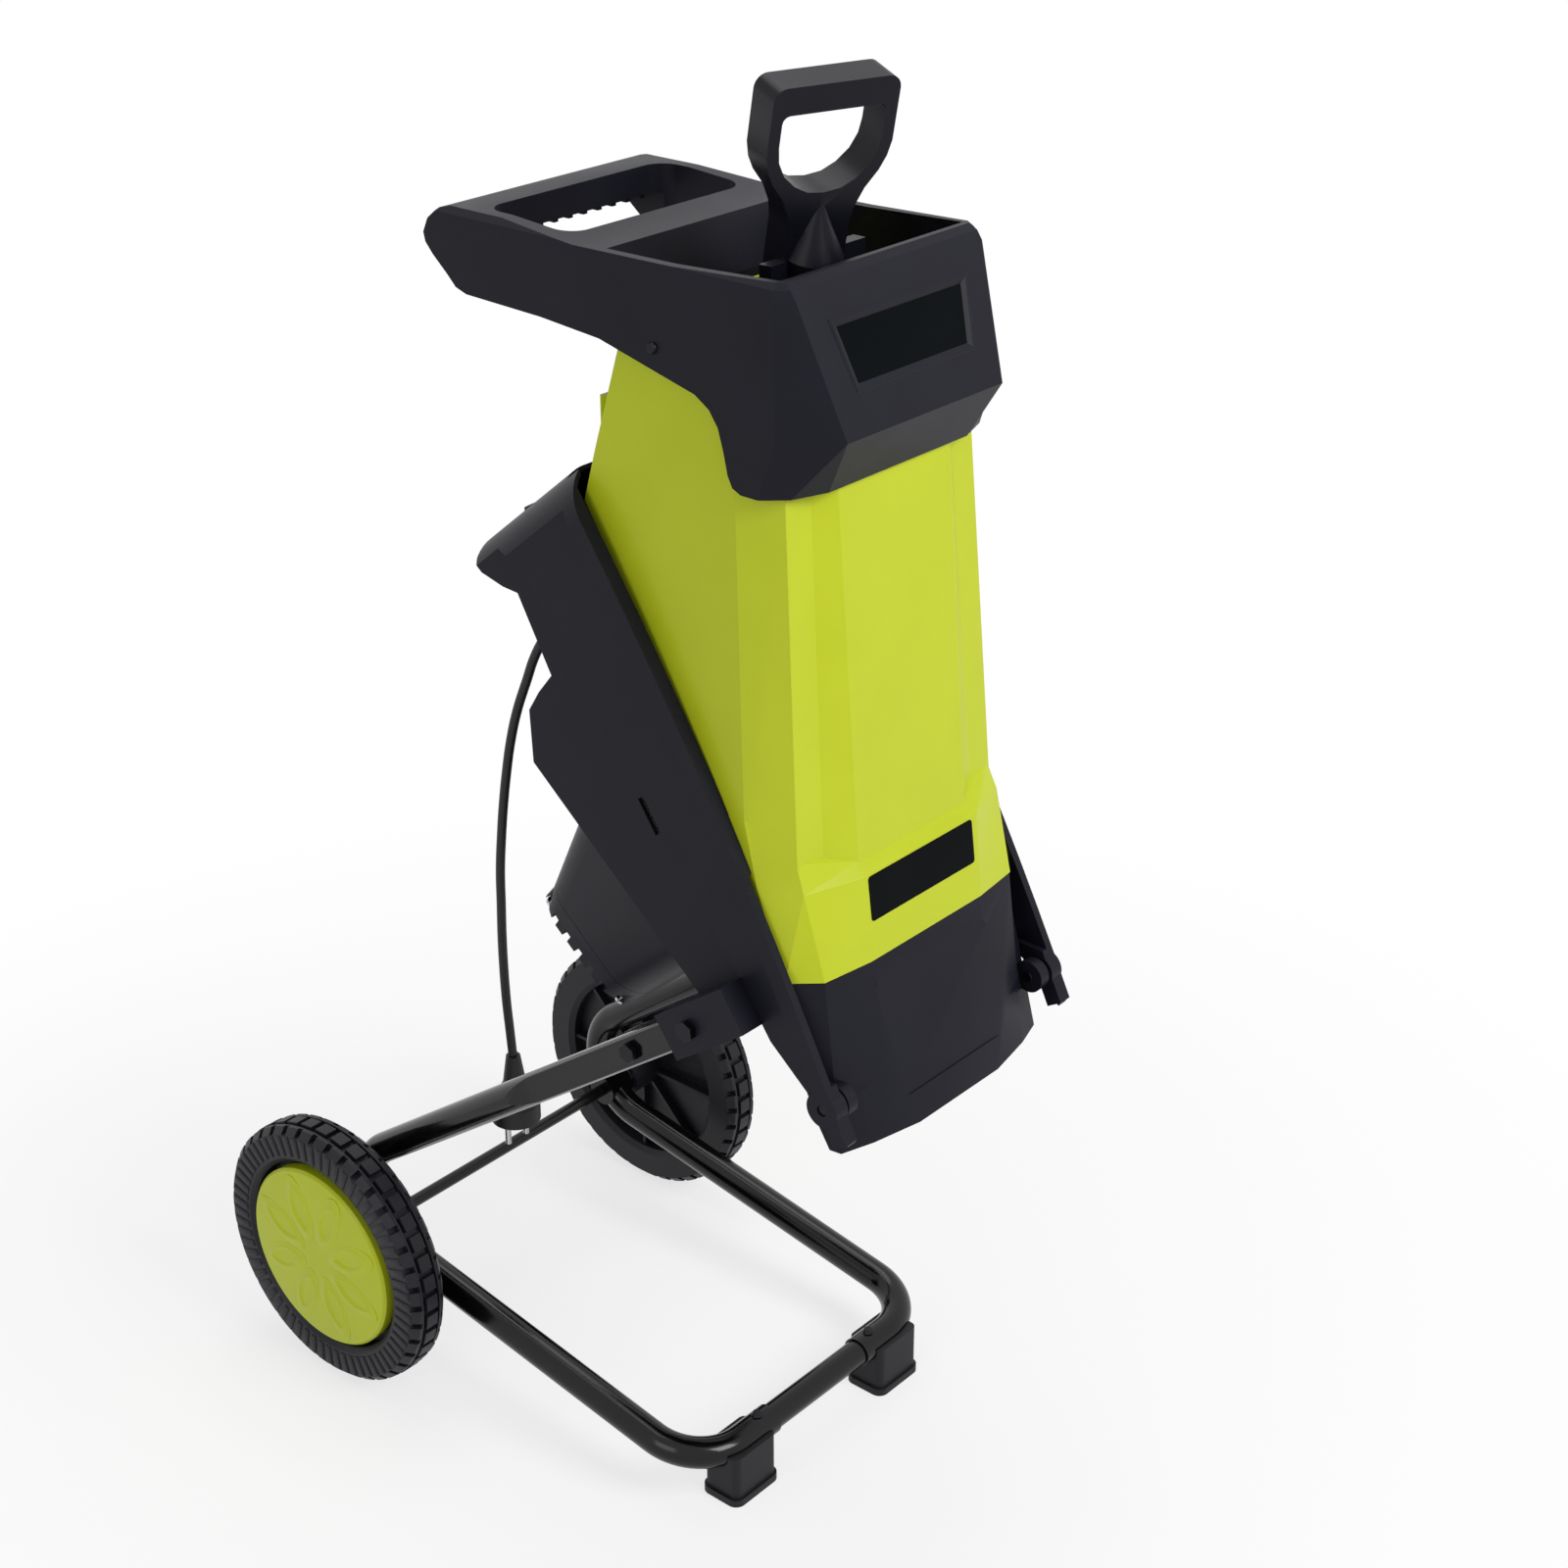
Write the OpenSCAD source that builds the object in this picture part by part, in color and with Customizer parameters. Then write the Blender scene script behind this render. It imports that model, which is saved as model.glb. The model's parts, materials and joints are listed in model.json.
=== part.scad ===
// Wheeled garden shredder for leaves and branches, made as separate closed parts.
// +Z is up, the front faces -Y, X runs across; the floor is z = 0.
// Side profiles are written as (s, z): s is the distance in front of the axle.

/* [Wheels] */
// Outer radius of both wheels
wheel_r = 110; // [100:1:120]
// Width of the tyre
tyre_w = 33; // [28:1:36]
// From the middle plane to the middle of a wheel
wheel_x = 180; // [176:1:200]
// Gap between the coloured wheel cover and the inside of the rim
cover_gap = 4; // [2.5:0.5:14]
// Diameter of the axle rod
axle_d = 10; // [8:0.5:12]

/* [Frame] */
// Outer diameter of the bent tubes
tube_d = 24; // [22:0.5:26]
// Wall of the bent tubes
tube_wall = 1.5; // [1:0.1:2.5]
// From the middle plane to the centre of a side tube
frame_half = 131; // [130:1:138]
// Centre line radius of the bend behind the axle
bend_r = 50; // [44:1:56]
// Rise of the legs from the floor plane, in degrees
leg_angle = 36; // [34:0.5:38]
// Straight length of a leg above the bend
leg_len = 446; // [430:1:465]
// Fall of the base tubes towards the front, in degrees
base_fall = 9.7; // [8:0.1:10.5]
// Distance of the front tube in front of the axle
frame_front = 337; // [320:1:350]
// Centre line radius of the two front corners
corner_r = 45; // [36:1:52]
// Width of a front foot
foot_w = 46; // [34:1:56]
// Length of a front foot
foot_l = 33; // [30:1:44]

/* [Housing] */
// Half width of the rear housing at its rim
housing_half = 126; // [125:0.5:128]
// Wall of the plastic shells
wall = 3; // [2.5:0.1:3.4]
// Bow of the rim away from its chord
rim_bow = 11; // [6:0.5:16]
// Corner radius of the hood at the top of the housing
hood_r = 38; // [28:1:46]

/* [Cutter] */
// Radius of the blade disc
disc_r = 100; // [86:1:104]
// Thickness of the blade disc
disc_t = 4; // [3:0.5:6]
// Diameter of the motor shaft
shaft_d = 12; // [10:0.5:13]
// Outer radius of the motor stator
stator_r = 48; // [42:0.5:50]
// Length of the stator stack
stator_l = 56; // [40:1:60]

/* [Hopper] */
// Length of the grip slot from front to back
slot_l = 78; // [60:1:84]
// Half width of the grip slot
slot_half = 84; // [60:1:88]
// Height of the hopper rim above its lower edge
hopper_h = 133; // [126:1:142]

/* [Pusher] */
// Radius of the pusher stem
stem_r = 20; // [17:0.5:22]
// Depth of the hand loop from front to back
loop_t = 24; // [18:1:28]
// Height of the hand loop above the base of the stem cone
loop_h = 115; // [110:1:122]
// Half width of the hand loop
loop_half = 45; // [42:0.5:48]
// Turn of the hand loop about the stem, in degrees
loop_turn = -18; // [-24:1:0]
// Lean of the hand loop towards the front, in degrees
loop_lean = 14; // [0:1:16]

/* [Knob] */
// Radius of the clamp knob
knob_r = 31; // [24:0.5:34]
// Diameter of the clamp screw
screw_d = 8; // [6:0.5:9]

/* [Buttons] */
// Travel of the three push buttons
press = 4; // [2:0.5:5]

/* [Cord] */
// Outer diameter of the supply cord
cord_d = 7; // [6:0.5:9]

/* [Hidden] */
$fn = 64;
fit = 0.05;
gap = 0.6;
lap = 8;

cover_r = wheel_r - 30 - cover_gap;

// half widths of the moulded shells follow the housing, home size 126
function wide(x) = x + housing_half - 126;

// bend behind the axle: the axle runs through its centre line
bend_c = [bend_r * cos(40), wheel_r + bend_r * sin(40)];
base_t = [bend_c[0] - bend_r * sin(base_fall), bend_c[1] - bend_r * cos(base_fall)];
leg_t = [bend_c[0] - bend_r * sin(leg_angle), bend_c[1] + bend_r * cos(leg_angle)];
base_len = (frame_front - base_t[0]) / cos(base_fall);
front_z = base_t[1] - (frame_front - base_t[0]) * tan(base_fall);
flat_from = 190;
flat_w = 14;
joint_x = 52;
cross_d = tube_d - 2 * tube_wall - 0.2;
foot_mid = 83;

// upper machine hangs on the two leg bolts, home place (345, 429)
bolt_1 = leg_len - 29;
bolt_2 = bolt_1 - 73;
lug_s = leg_t[0] + bolt_1 * cos(leg_angle);
lug_z = leg_t[1] + bolt_1 * sin(leg_angle);
up_s = lug_s - 345;
up_z = lug_z - 429;

// drive axis
drive_s = 268;
drive_z = 508;
drive_tilt = 40;
floor_z = -10;
case_end = -128;
cap_end = -152;
dam_h = 54;
bearing_d = shaft_d + 20;
bearing_h = 10;
fan_r = stator_r - 1;
core_r = stator_r * 0.58;

// rim of the housing
rim_top = [222, 790];
rim_low = [468, 380];
rim_u = (rim_low - rim_top) / norm(rim_low - rim_top);
rim_n = [-rim_u[1], rim_u[0]];
chamber_half = housing_half - 8;
skirt_half = housing_half - 3;
hood_tip = [127, 712];

// hinge at the bottom of the rim
hinge = [447, 399];
hinge_d = 8;

// clamp screw: square to the radius from the hinge
lock_p = [241, 758];
lock_r = lock_p - hinge;
lock_u = [lock_r[1], -lock_r[0]] / norm(lock_r);
lock_tilt = atan2(lock_u[0], lock_u[1]);
knob_from = 134;

// chute and hopper heights
seam_z = 478;
skirt_z = 802;
lip_z = 892;
rim_z = skirt_z + hopper_h;
screw_z = 879;
panel_z = [808, 856];

// pusher
push_s = 332;
push_foot = 690;
cone_z = 918;
loop_z = 930;
loop_x = -8;

// guard
guard_low = 358;
guard_front = 466;

reach = max(guard_front, rim_low[0]) + up_s;
axle_y = (reach - wheel_r) / 2;

// small helpers

function rev(a) = [for (i = [len(a) - 1:-1:0]) a[i]];

function unit(v) = v / norm(v);

// moves every edge of an anticlockwise outline inwards by d
function shrink(p, d) = [for (i = [0:len(p) - 1])
  let (a = p[(i + len(p) - 1) % len(p)], b = p[i], c = p[(i + 1) % len(p)],
       u = unit(b - a), v = unit(c - b), m = [-u[1], u[0]], n = [-v[1], v[0]])
  b + (m + n) * (d / (1 + m * n))];

// arc of n steps from a to b that bows to the left of a-b by h
function bow(a, b, h, n) =
  let (c = norm(b - a), u = (b - a) / c, v = [-u[1], u[0]], r = (c * c / 4 + h * h) / (2 * h), q = asin(c / 2 / r))
  [for (i = [0:n]) let (t = -q + 2 * q * i / n)
    a + u * (c / 2 + r * sin(t)) + v * (r * cos(t) - r + h)];

// mirrored outline of (x, s) points listed on one side from the rear to the front
function both(h) = concat([for (p = h) [-p[0], -p[1]]], [for (p = rev(h)) [p[0], -p[1]]]);

function lift(p, z) = [for (q = p) [q[0], q[1], z]];

// closed skin over mirrored sections with equal point counts
module loft(secs) {
  n = len(secs[0]);
  m = len(secs);
  h = n / 2;
  e = (m - 1) * n;
  polyhedron(
    points = [for (s = secs) for (p = s) p],
    faces = concat(
      [for (i = [0:h - 2]) each [[i, i + 1, n - 2 - i], [i, n - 2 - i, n - 1 - i]]],
      [for (k = [0:m - 2]) for (i = [0:n - 1])
        let (a = k * n + i, b = k * n + (i + 1) % n, c = b + n, d = a + n)
        each [[a, d, c], [a, c, b]]],
      [for (i = [0:h - 2]) each [[e + i, e + n - 2 - i, e + i + 1], [e + i, e + n - 1 - i, e + n - 2 - i]]]));
}

module placed() {
  translate([0, axle_y, 0])
    children();
}

module upper() {
  translate([0, axle_y - up_s, up_z])
    children();
}

// a flat (s, z) outline pushed across the machine
module across(w) {
  rotate([90, 0, -90])
    linear_extrude(w, center = true)
      children();
}

module at(s, z) {
  translate([0, -s, z])
    children();
}

module bar_x(d, w) {
  rotate([0, 90, 0])
    cylinder(d = d, h = w, center = true);
}

module both_sides() {
  children();
  mirror([1, 0, 0])
    children();
}

module round_rect(w, h, r) {
  square([w - 2 * r, h], center = true);
  square([w, h - 2 * r], center = true);
  for (i = [-1, 1])
    for (j = [-1, 1])
      translate([i * (w / 2 - r), j * (h / 2 - r)])
        circle(r);
}

// local frame of the motor: z runs up the shaft, y points up and back
module drive() {
  upper()
    at(drive_s, drive_z)
      rotate([drive_tilt, 0, 0])
        children();
}

// local frame of the clamp screw: z points forward along the screw
module lock() {
  upper()
    at(lock_p[0], lock_p[1])
      rotate([lock_tilt, 0, 0])
        children();
}

// local frame of a leg: z runs up the leg
module leg_frame(side) {
  placed()
    translate([side * frame_half, -leg_t[0], leg_t[1]])
      rotate([90 - leg_angle, 0, 0])
        children();
}

// frame

// tube end pressed flat at both sides
module flat_section(t) {
  intersection() {
    circle(d = tube_d - 2 * t);
    square([flat_w - 2 * t, tube_d + 4], center = true);
  }
}

// straight leg: round below, pressed flat where the bolts go through
module leg_shape(t, extra) {
  d = tube_d - 2 * t;
  h = leg_len + extra;
  w = flat_w / 2 - t;
  b = d / 2 + (d / 2 - w) / 3;
  intersection() {
    cylinder(d = d, h = h);
    rotate([90, 0, 0])
      linear_extrude(tube_d + 4, center = true)
        polygon([[-b, -1], [b, -1], [b, flat_from - 10], [w, flat_from + 30], [w, h + 1],
          [-w, h + 1], [-w, flat_from + 30], [-b, flat_from - 10]]);
  }
}

// turn = share of the rear bend that belongs to the leg and to the base tube
leg_turn = 130 - leg_angle - 2;
base_turn = 50 - base_fall - 2;

module side_sweep(side, t, extra) {
  d = tube_d - 2 * t;
  leg_frame(side) {
    leg_shape(t, extra);
    translate([0, -bend_r, 0])
      rotate([-90, 0, 90])
        rotate_extrude(angle = leg_turn)
          translate([bend_r, 0])
            circle(d = d);
  }
  placed()
    at(base_t[0], base_t[1])
      rotate([base_fall, 0, 0])
        mirror([side > 0 ? 1 : 0, 0, 0]) {
          translate([-frame_half, 0, 0])
            rotate([90, 0, 0])
              cylinder(d = d, h = base_len - corner_r);
          translate([-frame_half, 0, bend_r])
            rotate([0, 90, 0])
              rotate_extrude(angle = base_turn)
                translate([bend_r, 0])
                  circle(d = d);
          translate([-frame_half + corner_r, -base_len + corner_r, 0])
            rotate([0, 0, 180])
              rotate_extrude(angle = 90)
                translate([corner_r, 0])
                  circle(d = d);
          translate([-frame_half + corner_r, -base_len, 0])
            rotate([0, 90, 0])
              cylinder(d = d, h = frame_half - corner_r - joint_x + extra);
        }
}

module side_tube(side) {
  color("#17181a")
    difference() {
      union() {
        difference() {
          side_sweep(side, 0, 0);
          side_sweep(side, tube_wall, 1);
        }
        // bush for the axle
        placed()
          translate([side * frame_half, 0, wheel_r])
            bar_x(tube_d + 3, tube_d + 0.4);
      }
      placed()
        at(0, wheel_r)
          bar_x(axle_d + 0.2, 2 * wheel_x);
      leg_frame(side)
        for (b = [bolt_1, bolt_2])
          translate([0, 0, b])
            bar_x(8.4, 60);
      placed()
        translate([side * (joint_x + 14), -frame_front, front_z])
          cylinder(d = 4.6, h = 60, center = true);
    }
}

module side_tube_left() {
  side_tube(-1);
}

module side_tube_right() {
  side_tube(1);
}

module cross_tube() {
  color("#17181a")
    placed()
      at(frame_front, front_z)
        difference() {
          bar_x(cross_d, 2 * joint_x + 56);
          bar_x(cross_d - 3, 2 * joint_x + 60);
          for (i = [-1, 1])
            translate([i * (joint_x + 14), 0, 0])
              cylinder(d = 4.6, h = 60, center = true);
        }
}

module foot(side) {
  color("#202124")
    difference() {
      placed()
        translate([side * (foot_mid + 2), -frame_front, 0])
          union() {
            linear_extrude(front_z + 2)
              round_rect(foot_w, foot_l, 6);
            linear_extrude(6)
              round_rect(foot_w + 4, foot_l + 4, 8);
          }
      side_sweep(side, -0.15, 0);
      placed()
        translate([side * (joint_x + 14), -frame_front, 0])
          cylinder(d = 4.6, h = 2 * front_z, center = true);
    }
}

module foot_left() {
  foot(-1);
}

module foot_right() {
  foot(1);
}

module foot_screws() {
  color("#8d9096")
    placed()
      both_sides()
        translate([joint_x + 14, -frame_front, front_z]) {
          translate([0, 0, -tube_d / 2 - 8])
            cylinder(d = 4.2, h = tube_d + 8.4);
          translate([0, 0, tube_d / 2 + 0.2])
            cylinder(d1 = 9, d2 = 6, h = 3);
        }
}

// wheels and axle

module axle() {
  color("#b9bcc0")
    placed()
      at(0, wheel_r)
        bar_x(axle_d, 2 * (wheel_x + tyre_w / 2 - 2));
}

module axle_nuts() {
  color("#9a9da2")
    placed()
      at(0, wheel_r)
        both_sides()
          translate([wheel_x + tyre_w / 2 - 7, 0, 0])
            rotate([0, 90, 0])
              difference() {
                cylinder(r = axle_d / 2 + 5, h = 4);
                translate([0, 0, -1])
                  cylinder(d = axle_d + 0.04, h = 7);
              }
}

module wheel_washers() {
  color("#9a9da2")
    placed()
      at(0, wheel_r)
        both_sides()
          translate([frame_half + tube_d / 2 + 0.5, 0, 0])
            rotate([0, 90, 0])
              difference() {
                cylinder(r = axle_d / 2 + 6, h = 2);
                translate([0, 0, -1])
                  cylinder(d = axle_d + 0.1, h = 4);
              }
}

// notches across the tread: two outer rows and a middle row half a step on
module tread_cuts(n) {
  h = tyre_w / 2;
  for (i = [0:n - 1])
    rotate([0, 0, 360 / n * i]) {
      for (z = [-h - 3, h - 7])
        translate([wheel_r - 6.5, -2.6, z])
          cube([12, 5.2, 10]);
      rotate([0, 0, 180 / n])
        translate([wheel_r - 4, -2.6, -tyre_w * 0.19])
          cube([12, 5.2, tyre_w * 0.38]);
    }
}

// wheel about z, outer face at +tyre_w / 2
module wheel_body() {
  hub = wheel_x - frame_half - tube_d / 2 - 3;
  h = tyre_w / 2;
  u = tyre_w * 0.16;
  v = tyre_w * 0.24;
  difference() {
    union() {
      rotate_extrude()
        polygon([[wheel_r - 30, -h + 4], [wheel_r - 26, -h], [wheel_r - 6, -h], [wheel_r - 1, -h + 5],
          [wheel_r - 1, -v], [wheel_r - 5, -v + 0.6], [wheel_r - 5, -u - 0.6], [wheel_r, -u], [wheel_r, u],
          [wheel_r - 5, u + 0.6], [wheel_r - 5, v - 0.6], [wheel_r - 1, v], [wheel_r - 1, h - 5],
          [wheel_r - 6, h], [wheel_r - 26, h], [wheel_r - 30, h - 4]]);
      translate([0, 0, -3])
        cylinder(r = wheel_r - 29, h = 4);
      translate([0, 0, -hub])
        cylinder(r = axle_d / 2 + 11, h = hub + tyre_w / 2 - 8);
      for (i = [0:7])
        rotate([0, 0, 45 * i])
          translate([axle_d / 2 + 8, -1.5, -h + 6])
            cube([wheel_r - 36 - axle_d / 2, 3, h - 7.4]);
    }
    tread_cuts(40);
    translate([0, 0, -80])
      cylinder(r = axle_d / 2 + fit, h = 160);
  }
}

module wheel_place(side) {
  placed()
    translate([side * wheel_x, 0, wheel_r])
      rotate([0, side * 90, 0])
        children();
}

module wheel_left() {
  color("#1f1f22")
    wheel_place(-1)
      wheel_body();
}

module wheel_right() {
  color("#1f1f22")
    wheel_place(1)
      wheel_body();
}

module cover_body() {
  z = tyre_w / 2;
  difference() {
    union() {
      rotate_extrude()
        polygon([[0, z + 4.2], [cover_r * 0.3, z + 4], [cover_r * 0.8, z + 3], [cover_r - 2, z + 1.8], [cover_r, z - 0.4],
          [cover_r, z - 9], [cover_r - 2.4, z - 9], [cover_r - 2.4, z - 1.2], [cover_r * 0.3, z + 0.6], [0, z + 0.8]]);
      for (i = [0:3])
        rotate([0, 0, 45 + 90 * i])
          translate([cover_r * 0.72, 0, 1.1])
            cylinder(r = 4, h = z, $fn = 32);
    }
    for (i = [0:7])
      rotate([0, 0, 22.5 + 45 * i])
        translate([cover_r * 0.56, 0, z + 2.6])
          linear_extrude(4)
            intersection() {
              translate([0, cover_r * 0.36])
                circle(cover_r * 0.5);
              translate([0, -cover_r * 0.36])
                circle(cover_r * 0.5);
            }
  }
}

module wheel_cover_left() {
  color("#b9c526")
    wheel_place(-1)
      cover_body();
}

module wheel_cover_right() {
  color("#b9c526")
    wheel_place(1)
      cover_body();
}

// rear housing with its hood, cutting chamber and motor case

rim = bow(rim_top, rim_low, rim_bow, 14);

// (s, z) from drive coordinates: r down the disc plane, a up the shaft
function from_drive(r, a) = [drive_s + r * cos(drive_tilt) + a * sin(drive_tilt),
  drive_z - r * sin(drive_tilt) + a * cos(drive_tilt)];

// outline behind the rim, anticlockwise in (s, z)
shell_side = concat(
  [from_drive(-104, floor_z), from_drive(128, floor_z), from_drive(128, 26), from_drive(236, 27)],
  rev(rim),
  [rim_top + [-20, 30], hood_tip + [-14, 30], hood_tip + [4, -9], [140, 696], [160, 691], [174, 690], [203, 638],
    [190, 622], [180, 606]]);

// hood outline, square to the hood roof: x and distance below the roof
module hood_prism(t) {
  d = rim_top - hood_tip;
  at(rim_top[0], rim_top[1])
    rotate([atan2(d[0], d[1]), 0, 0])
      translate([0, 0, -420])
        linear_extrude(900)
          union() {
            translate([-housing_half + t, -700])
              square([2 * (housing_half - t), 700 - hood_r]);
            translate([-housing_half + hood_r, -hood_r - 1])
              square([2 * (housing_half - hood_r), hood_r + 1 - t]);
            for (i = [-1, 1])
              translate([i * (housing_half - hood_r), -hood_r])
                circle(hood_r - t);
          }
}

function case_half(a) = [96 - 0.16 * (floor_z - a), 76 - 0.17 * (floor_z - a)];

// rounded box section of the motor case at height a on the shaft
function case_section(a, t) =
  let (h = case_half(a), r = 26 - t, x = h[0] - t - r, y = h[1] - t - r)
  concat([for (q = [0:6]) [-x - r * sin(15 * q), y + r * cos(15 * q), a]],
         [for (q = [0:6]) [-x - r * cos(15 * q), -y - r * sin(15 * q), a]],
         [for (q = [0:6]) [x + r * sin(15 * q), -y - r * cos(15 * q), a]],
         [for (q = [0:6]) [x + r * cos(15 * q), y + r * sin(15 * q), a]]);

// the part of the machine that lies behind the rim line, moved back by d
module behind_rim(d) {
  across(400)
    polygon(concat([for (p = rim) p - rim_n * d], [[rim_low[0] + 20, rim_low[1] - 120], [-50, rim_low[1] - 120],
      [-50, rim_top[1]], rim_top - rim_n * d - [30, 0]]));
}

// slab along the rim from front before it to back behind it
module rim_zone(front, back) {
  across(400)
    polygon(concat([for (p = rim) p + rim_n * front], rev([for (p = rim) p - rim_n * back])));
}

module leg_lug(side) {
  leg_frame(side) {
    translate([-flat_w / 2 - 5, -tube_d / 2 - 5, bolt_1 - 26])
      cube([flat_w + 10, tube_d + 10, 74]);
    translate([side > 0 ? -frame_half + chamber_half - 6 : flat_w / 2 + 1.2, -tube_d / 2, bolt_2 - 18])
      cube([frame_half - chamber_half + 5 - flat_w / 2, tube_d, 110]);
  }
}

module rear_housing() {
  color("#2c2d31")
    difference() {
      union() {
        difference() {
          upper()
            intersection() {
              union() {
                across(2 * chamber_half)
                  polygon(shell_side);
                // wide skirt along the rim
                across(2 * skirt_half)
                  polygon(concat([for (p = rim) p], [from_drive(236, 27), from_drive(150, 27), [352, 500], [318, 556],
                    [260, 610], [228, 648], [180, 716], hood_tip + [6, 8], hood_tip + [-8, 24]]));
                across(2 * housing_half)
                  polygon(concat([for (p = rim) p], rev([for (p = rim) p - rim_n * 13])));
              }
              hood_prism(0);
            }
          // hollow of hood, skirt and chamber, open at the rim
          upper()
            intersection() {
              across(2 * (chamber_half - wall))
                polygon(concat(
                  [from_drive(-104 + wall, floor_z + wall), from_drive(128 - wall, floor_z + wall),
                    from_drive(128 - wall, dam_h), from_drive(129, dam_h), from_drive(129, 15),
                    from_drive(262, 15)],
                  rev([for (p = rim) p + rim_n * 3]),
                  [rim_top + [-20, 30], hood_tip + [-2, 30], hood_tip + [12, -4], [163, 694], [177, 693], [207, 638],
                    [194, 620], [184, 605]]));
              hood_prism(wall);
            }
          // mouth that takes the chute and the guard
          upper()
            intersection() {
              union() {
                chute_loft(-gap, 1);
                band_loft(-gap);
              }
              rim_zone(20, 15);
            }
          upper()
            intersection() {
              guard_loft(-gap, 1);
              rim_zone(20, 36);
            }
          // room beside the chute and the guard as they swing out
          upper()
            intersection() {
              across(2 * (skirt_half - wall))
                polygon([[300, 416], [520, 416], [520, 548], [300, 548]]);
              rim_zone(20, 30);
            }
        }
        drive()
          difference() {
            loft_ring(case_section(case_end, 0), case_section(floor_z + 1, 0));
            loft_ring(case_section(case_end - 1, wall), case_section(floor_z - 0.01, wall));
          }
        // motor sleeve and upper bearing seat
        drive() {
          difference() {
            translate([0, 0, case_end + 26])
              cylinder(r = stator_r + 3, h = floor_z - case_end - 25);
            translate([0, 0, case_end + 20])
              cylinder(r = stator_r + fit, h = floor_z - case_end - 20);
          }
          translate([0, 0, floor_z - 14])
            cylinder(r = bearing_d / 2 + 5, h = 14 + wall / 2);
          for (i = [0:5])
            rotate([0, 0, 30 + 60 * i])
              translate([bearing_d / 2 + 3, -1.5, floor_z - 8])
                cube([stator_r - bearing_d / 2 - 2, 3, 9]);
        }
        // boss of the clamp screw under the hood
        lock()
          translate([0, 0, 6 - knob_from])
            cylinder(r = screw_d / 2 + 9, h = knob_from - 42);
        lock()
          translate([-4, -20, 38 - knob_from])
            cube([8, 16, knob_from - 78]);
        // pivot bosses
        upper()
          at(hinge[0], hinge[1])
            both_sides()
              translate([chamber_half - 3.5, 0, 0])
                rotate([0, 90, 0])
                  cylinder(r = 13, h = housing_half - chamber_half + 3.5);
        leg_lug(-1);
        leg_lug(1);
      }
      for (side = [-1, 1])
        leg_frame(side) {
          translate([0, 0, bolt_2 - 60])
            linear_extrude(leg_len - bolt_2 + 60 + 0.5)
              flat_section(-0.2);
          for (b = [bolt_1, bolt_2])
            translate([0, 0, b])
              bar_x(8.4, 46);
        }
      drive() {
        translate([0, 0, floor_z - 20])
          cylinder(r = bearing_d / 2 + fit, h = 20 - 2);
        translate([0, 0, floor_z - 20])
          cylinder(r = shaft_d / 2 + 1.5, h = 40);
        // outlet through the front wall of the chamber
        translate([-86, -136, floor_z + wall + 2])
          cube([172, 18, 36]);
        // case screws
        for (i = [-1, 1])
          for (j = [-1, 1])
            translate([i * 62, j * 44, case_end - 1])
              cylinder(d = 3.4, h = 18);
      }
      lock()
        translate([0, 0, -knob_from - 2])
          cylinder(d = screw_d + 0.6, h = knob_from + 20);
      upper()
        at(hinge[0], hinge[1])
          bar_x(hinge_d + 0.1, 2 * housing_half + 10);
      // slots in both sides of the skirt
      upper()
        at(295, 560)
          rotate([35, 0, 0])
            cube([400, 8, 44], center = true);
    }
}

// closed skin over plain rings of points given in order from low to high
module loft_ring(a, b) {
  n = len(a);
  polyhedron(
    points = concat(a, b),
    faces = concat([[for (i = [0:n - 1]) i]],
      [for (i = [0:n - 1]) let (j = (i + 1) % n) each [[i, n + i, n + j], [i, n + j, j]]],
      [[for (i = [n - 1:-1:0]) n + i]]));
}

module motor_cover() {
  color("#26272b")
    drive()
      difference() {
        union() {
          difference() {
            loft_ring(case_section(cap_end, 0), case_section(case_end - 0.5, 0));
            loft_ring(case_section(cap_end + wall, wall), case_section(case_end + 1, wall));
          }
          translate([0, 0, cap_end + 1])
            cylinder(r = bearing_d / 2 + 5, h = 19);
          for (i = [-1, 1])
            for (j = [-1, 1])
              translate([i * 62, j * 44, cap_end + 1])
                cylinder(r = 6, h = case_end - cap_end - 1.5, $fn = 32);
        }
        translate([0, 0, cap_end + 8])
          cylinder(r = bearing_d / 2 + fit, h = 30);
        for (j = [-3:3])
          translate([0, 15 * j, cap_end + 1])
            if (abs(j) > 1)
              cube([220, 6, 14], center = true);
            else
              both_sides()
                translate([bearing_d / 2 + 8, -3, -7])
                  cube([120, 6, 14]);
        for (i = [-1, 1])
          for (j = [-1, 1])
            translate([i * 62, j * 44, cap_end - 1])
              cylinder(d = 4.4, h = 60);
      }
}

module cover_screws() {
  color("#8d9096")
    drive()
      for (i = [-1, 1])
        for (j = [-1, 1])
          translate([i * 62, j * 44, cap_end - 2.6]) {
            cylinder(d = 8, h = 2.5, $fn = 32);
            translate([0, 0, 2.4])
              cylinder(d = 3.2, h = 32, $fn = 32);
          }
}

module leg_bolts() {
  color("#8d9096")
    for (side = [-1, 1])
      leg_frame(side)
        for (b = [bolt_1, bolt_2])
          translate([0, 0, b])
            rotate([0, side * 90, 0]) {
              translate([0, 0, b == bolt_1 ? flat_w / 2 + 5.1 : flat_w / 2 + 0.1])
                cylinder(r = 7.5, h = 5, $fn = 6);
              translate([0, 0, -flat_w / 2 - 6])
                cylinder(d = 8, h = flat_w + 6 + (b == bolt_1 ? 5.2 : 0.2));
            }
}

// motor parts

module stator() {
  color("#8f6a3c")
    drive()
      translate([0, 0, -46 - stator_l])
        difference() {
          cylinder(r = stator_r, h = stator_l);
          translate([0, 0, -1])
            cylinder(r = core_r + 0.8, h = stator_l + 2);
          for (i = [0:3])
            rotate([0, 0, 45 + 90 * i])
              translate([core_r + 4, -5, -1])
                cube([stator_r - core_r - 9, 10, stator_l + 2]);
        }
}

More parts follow.
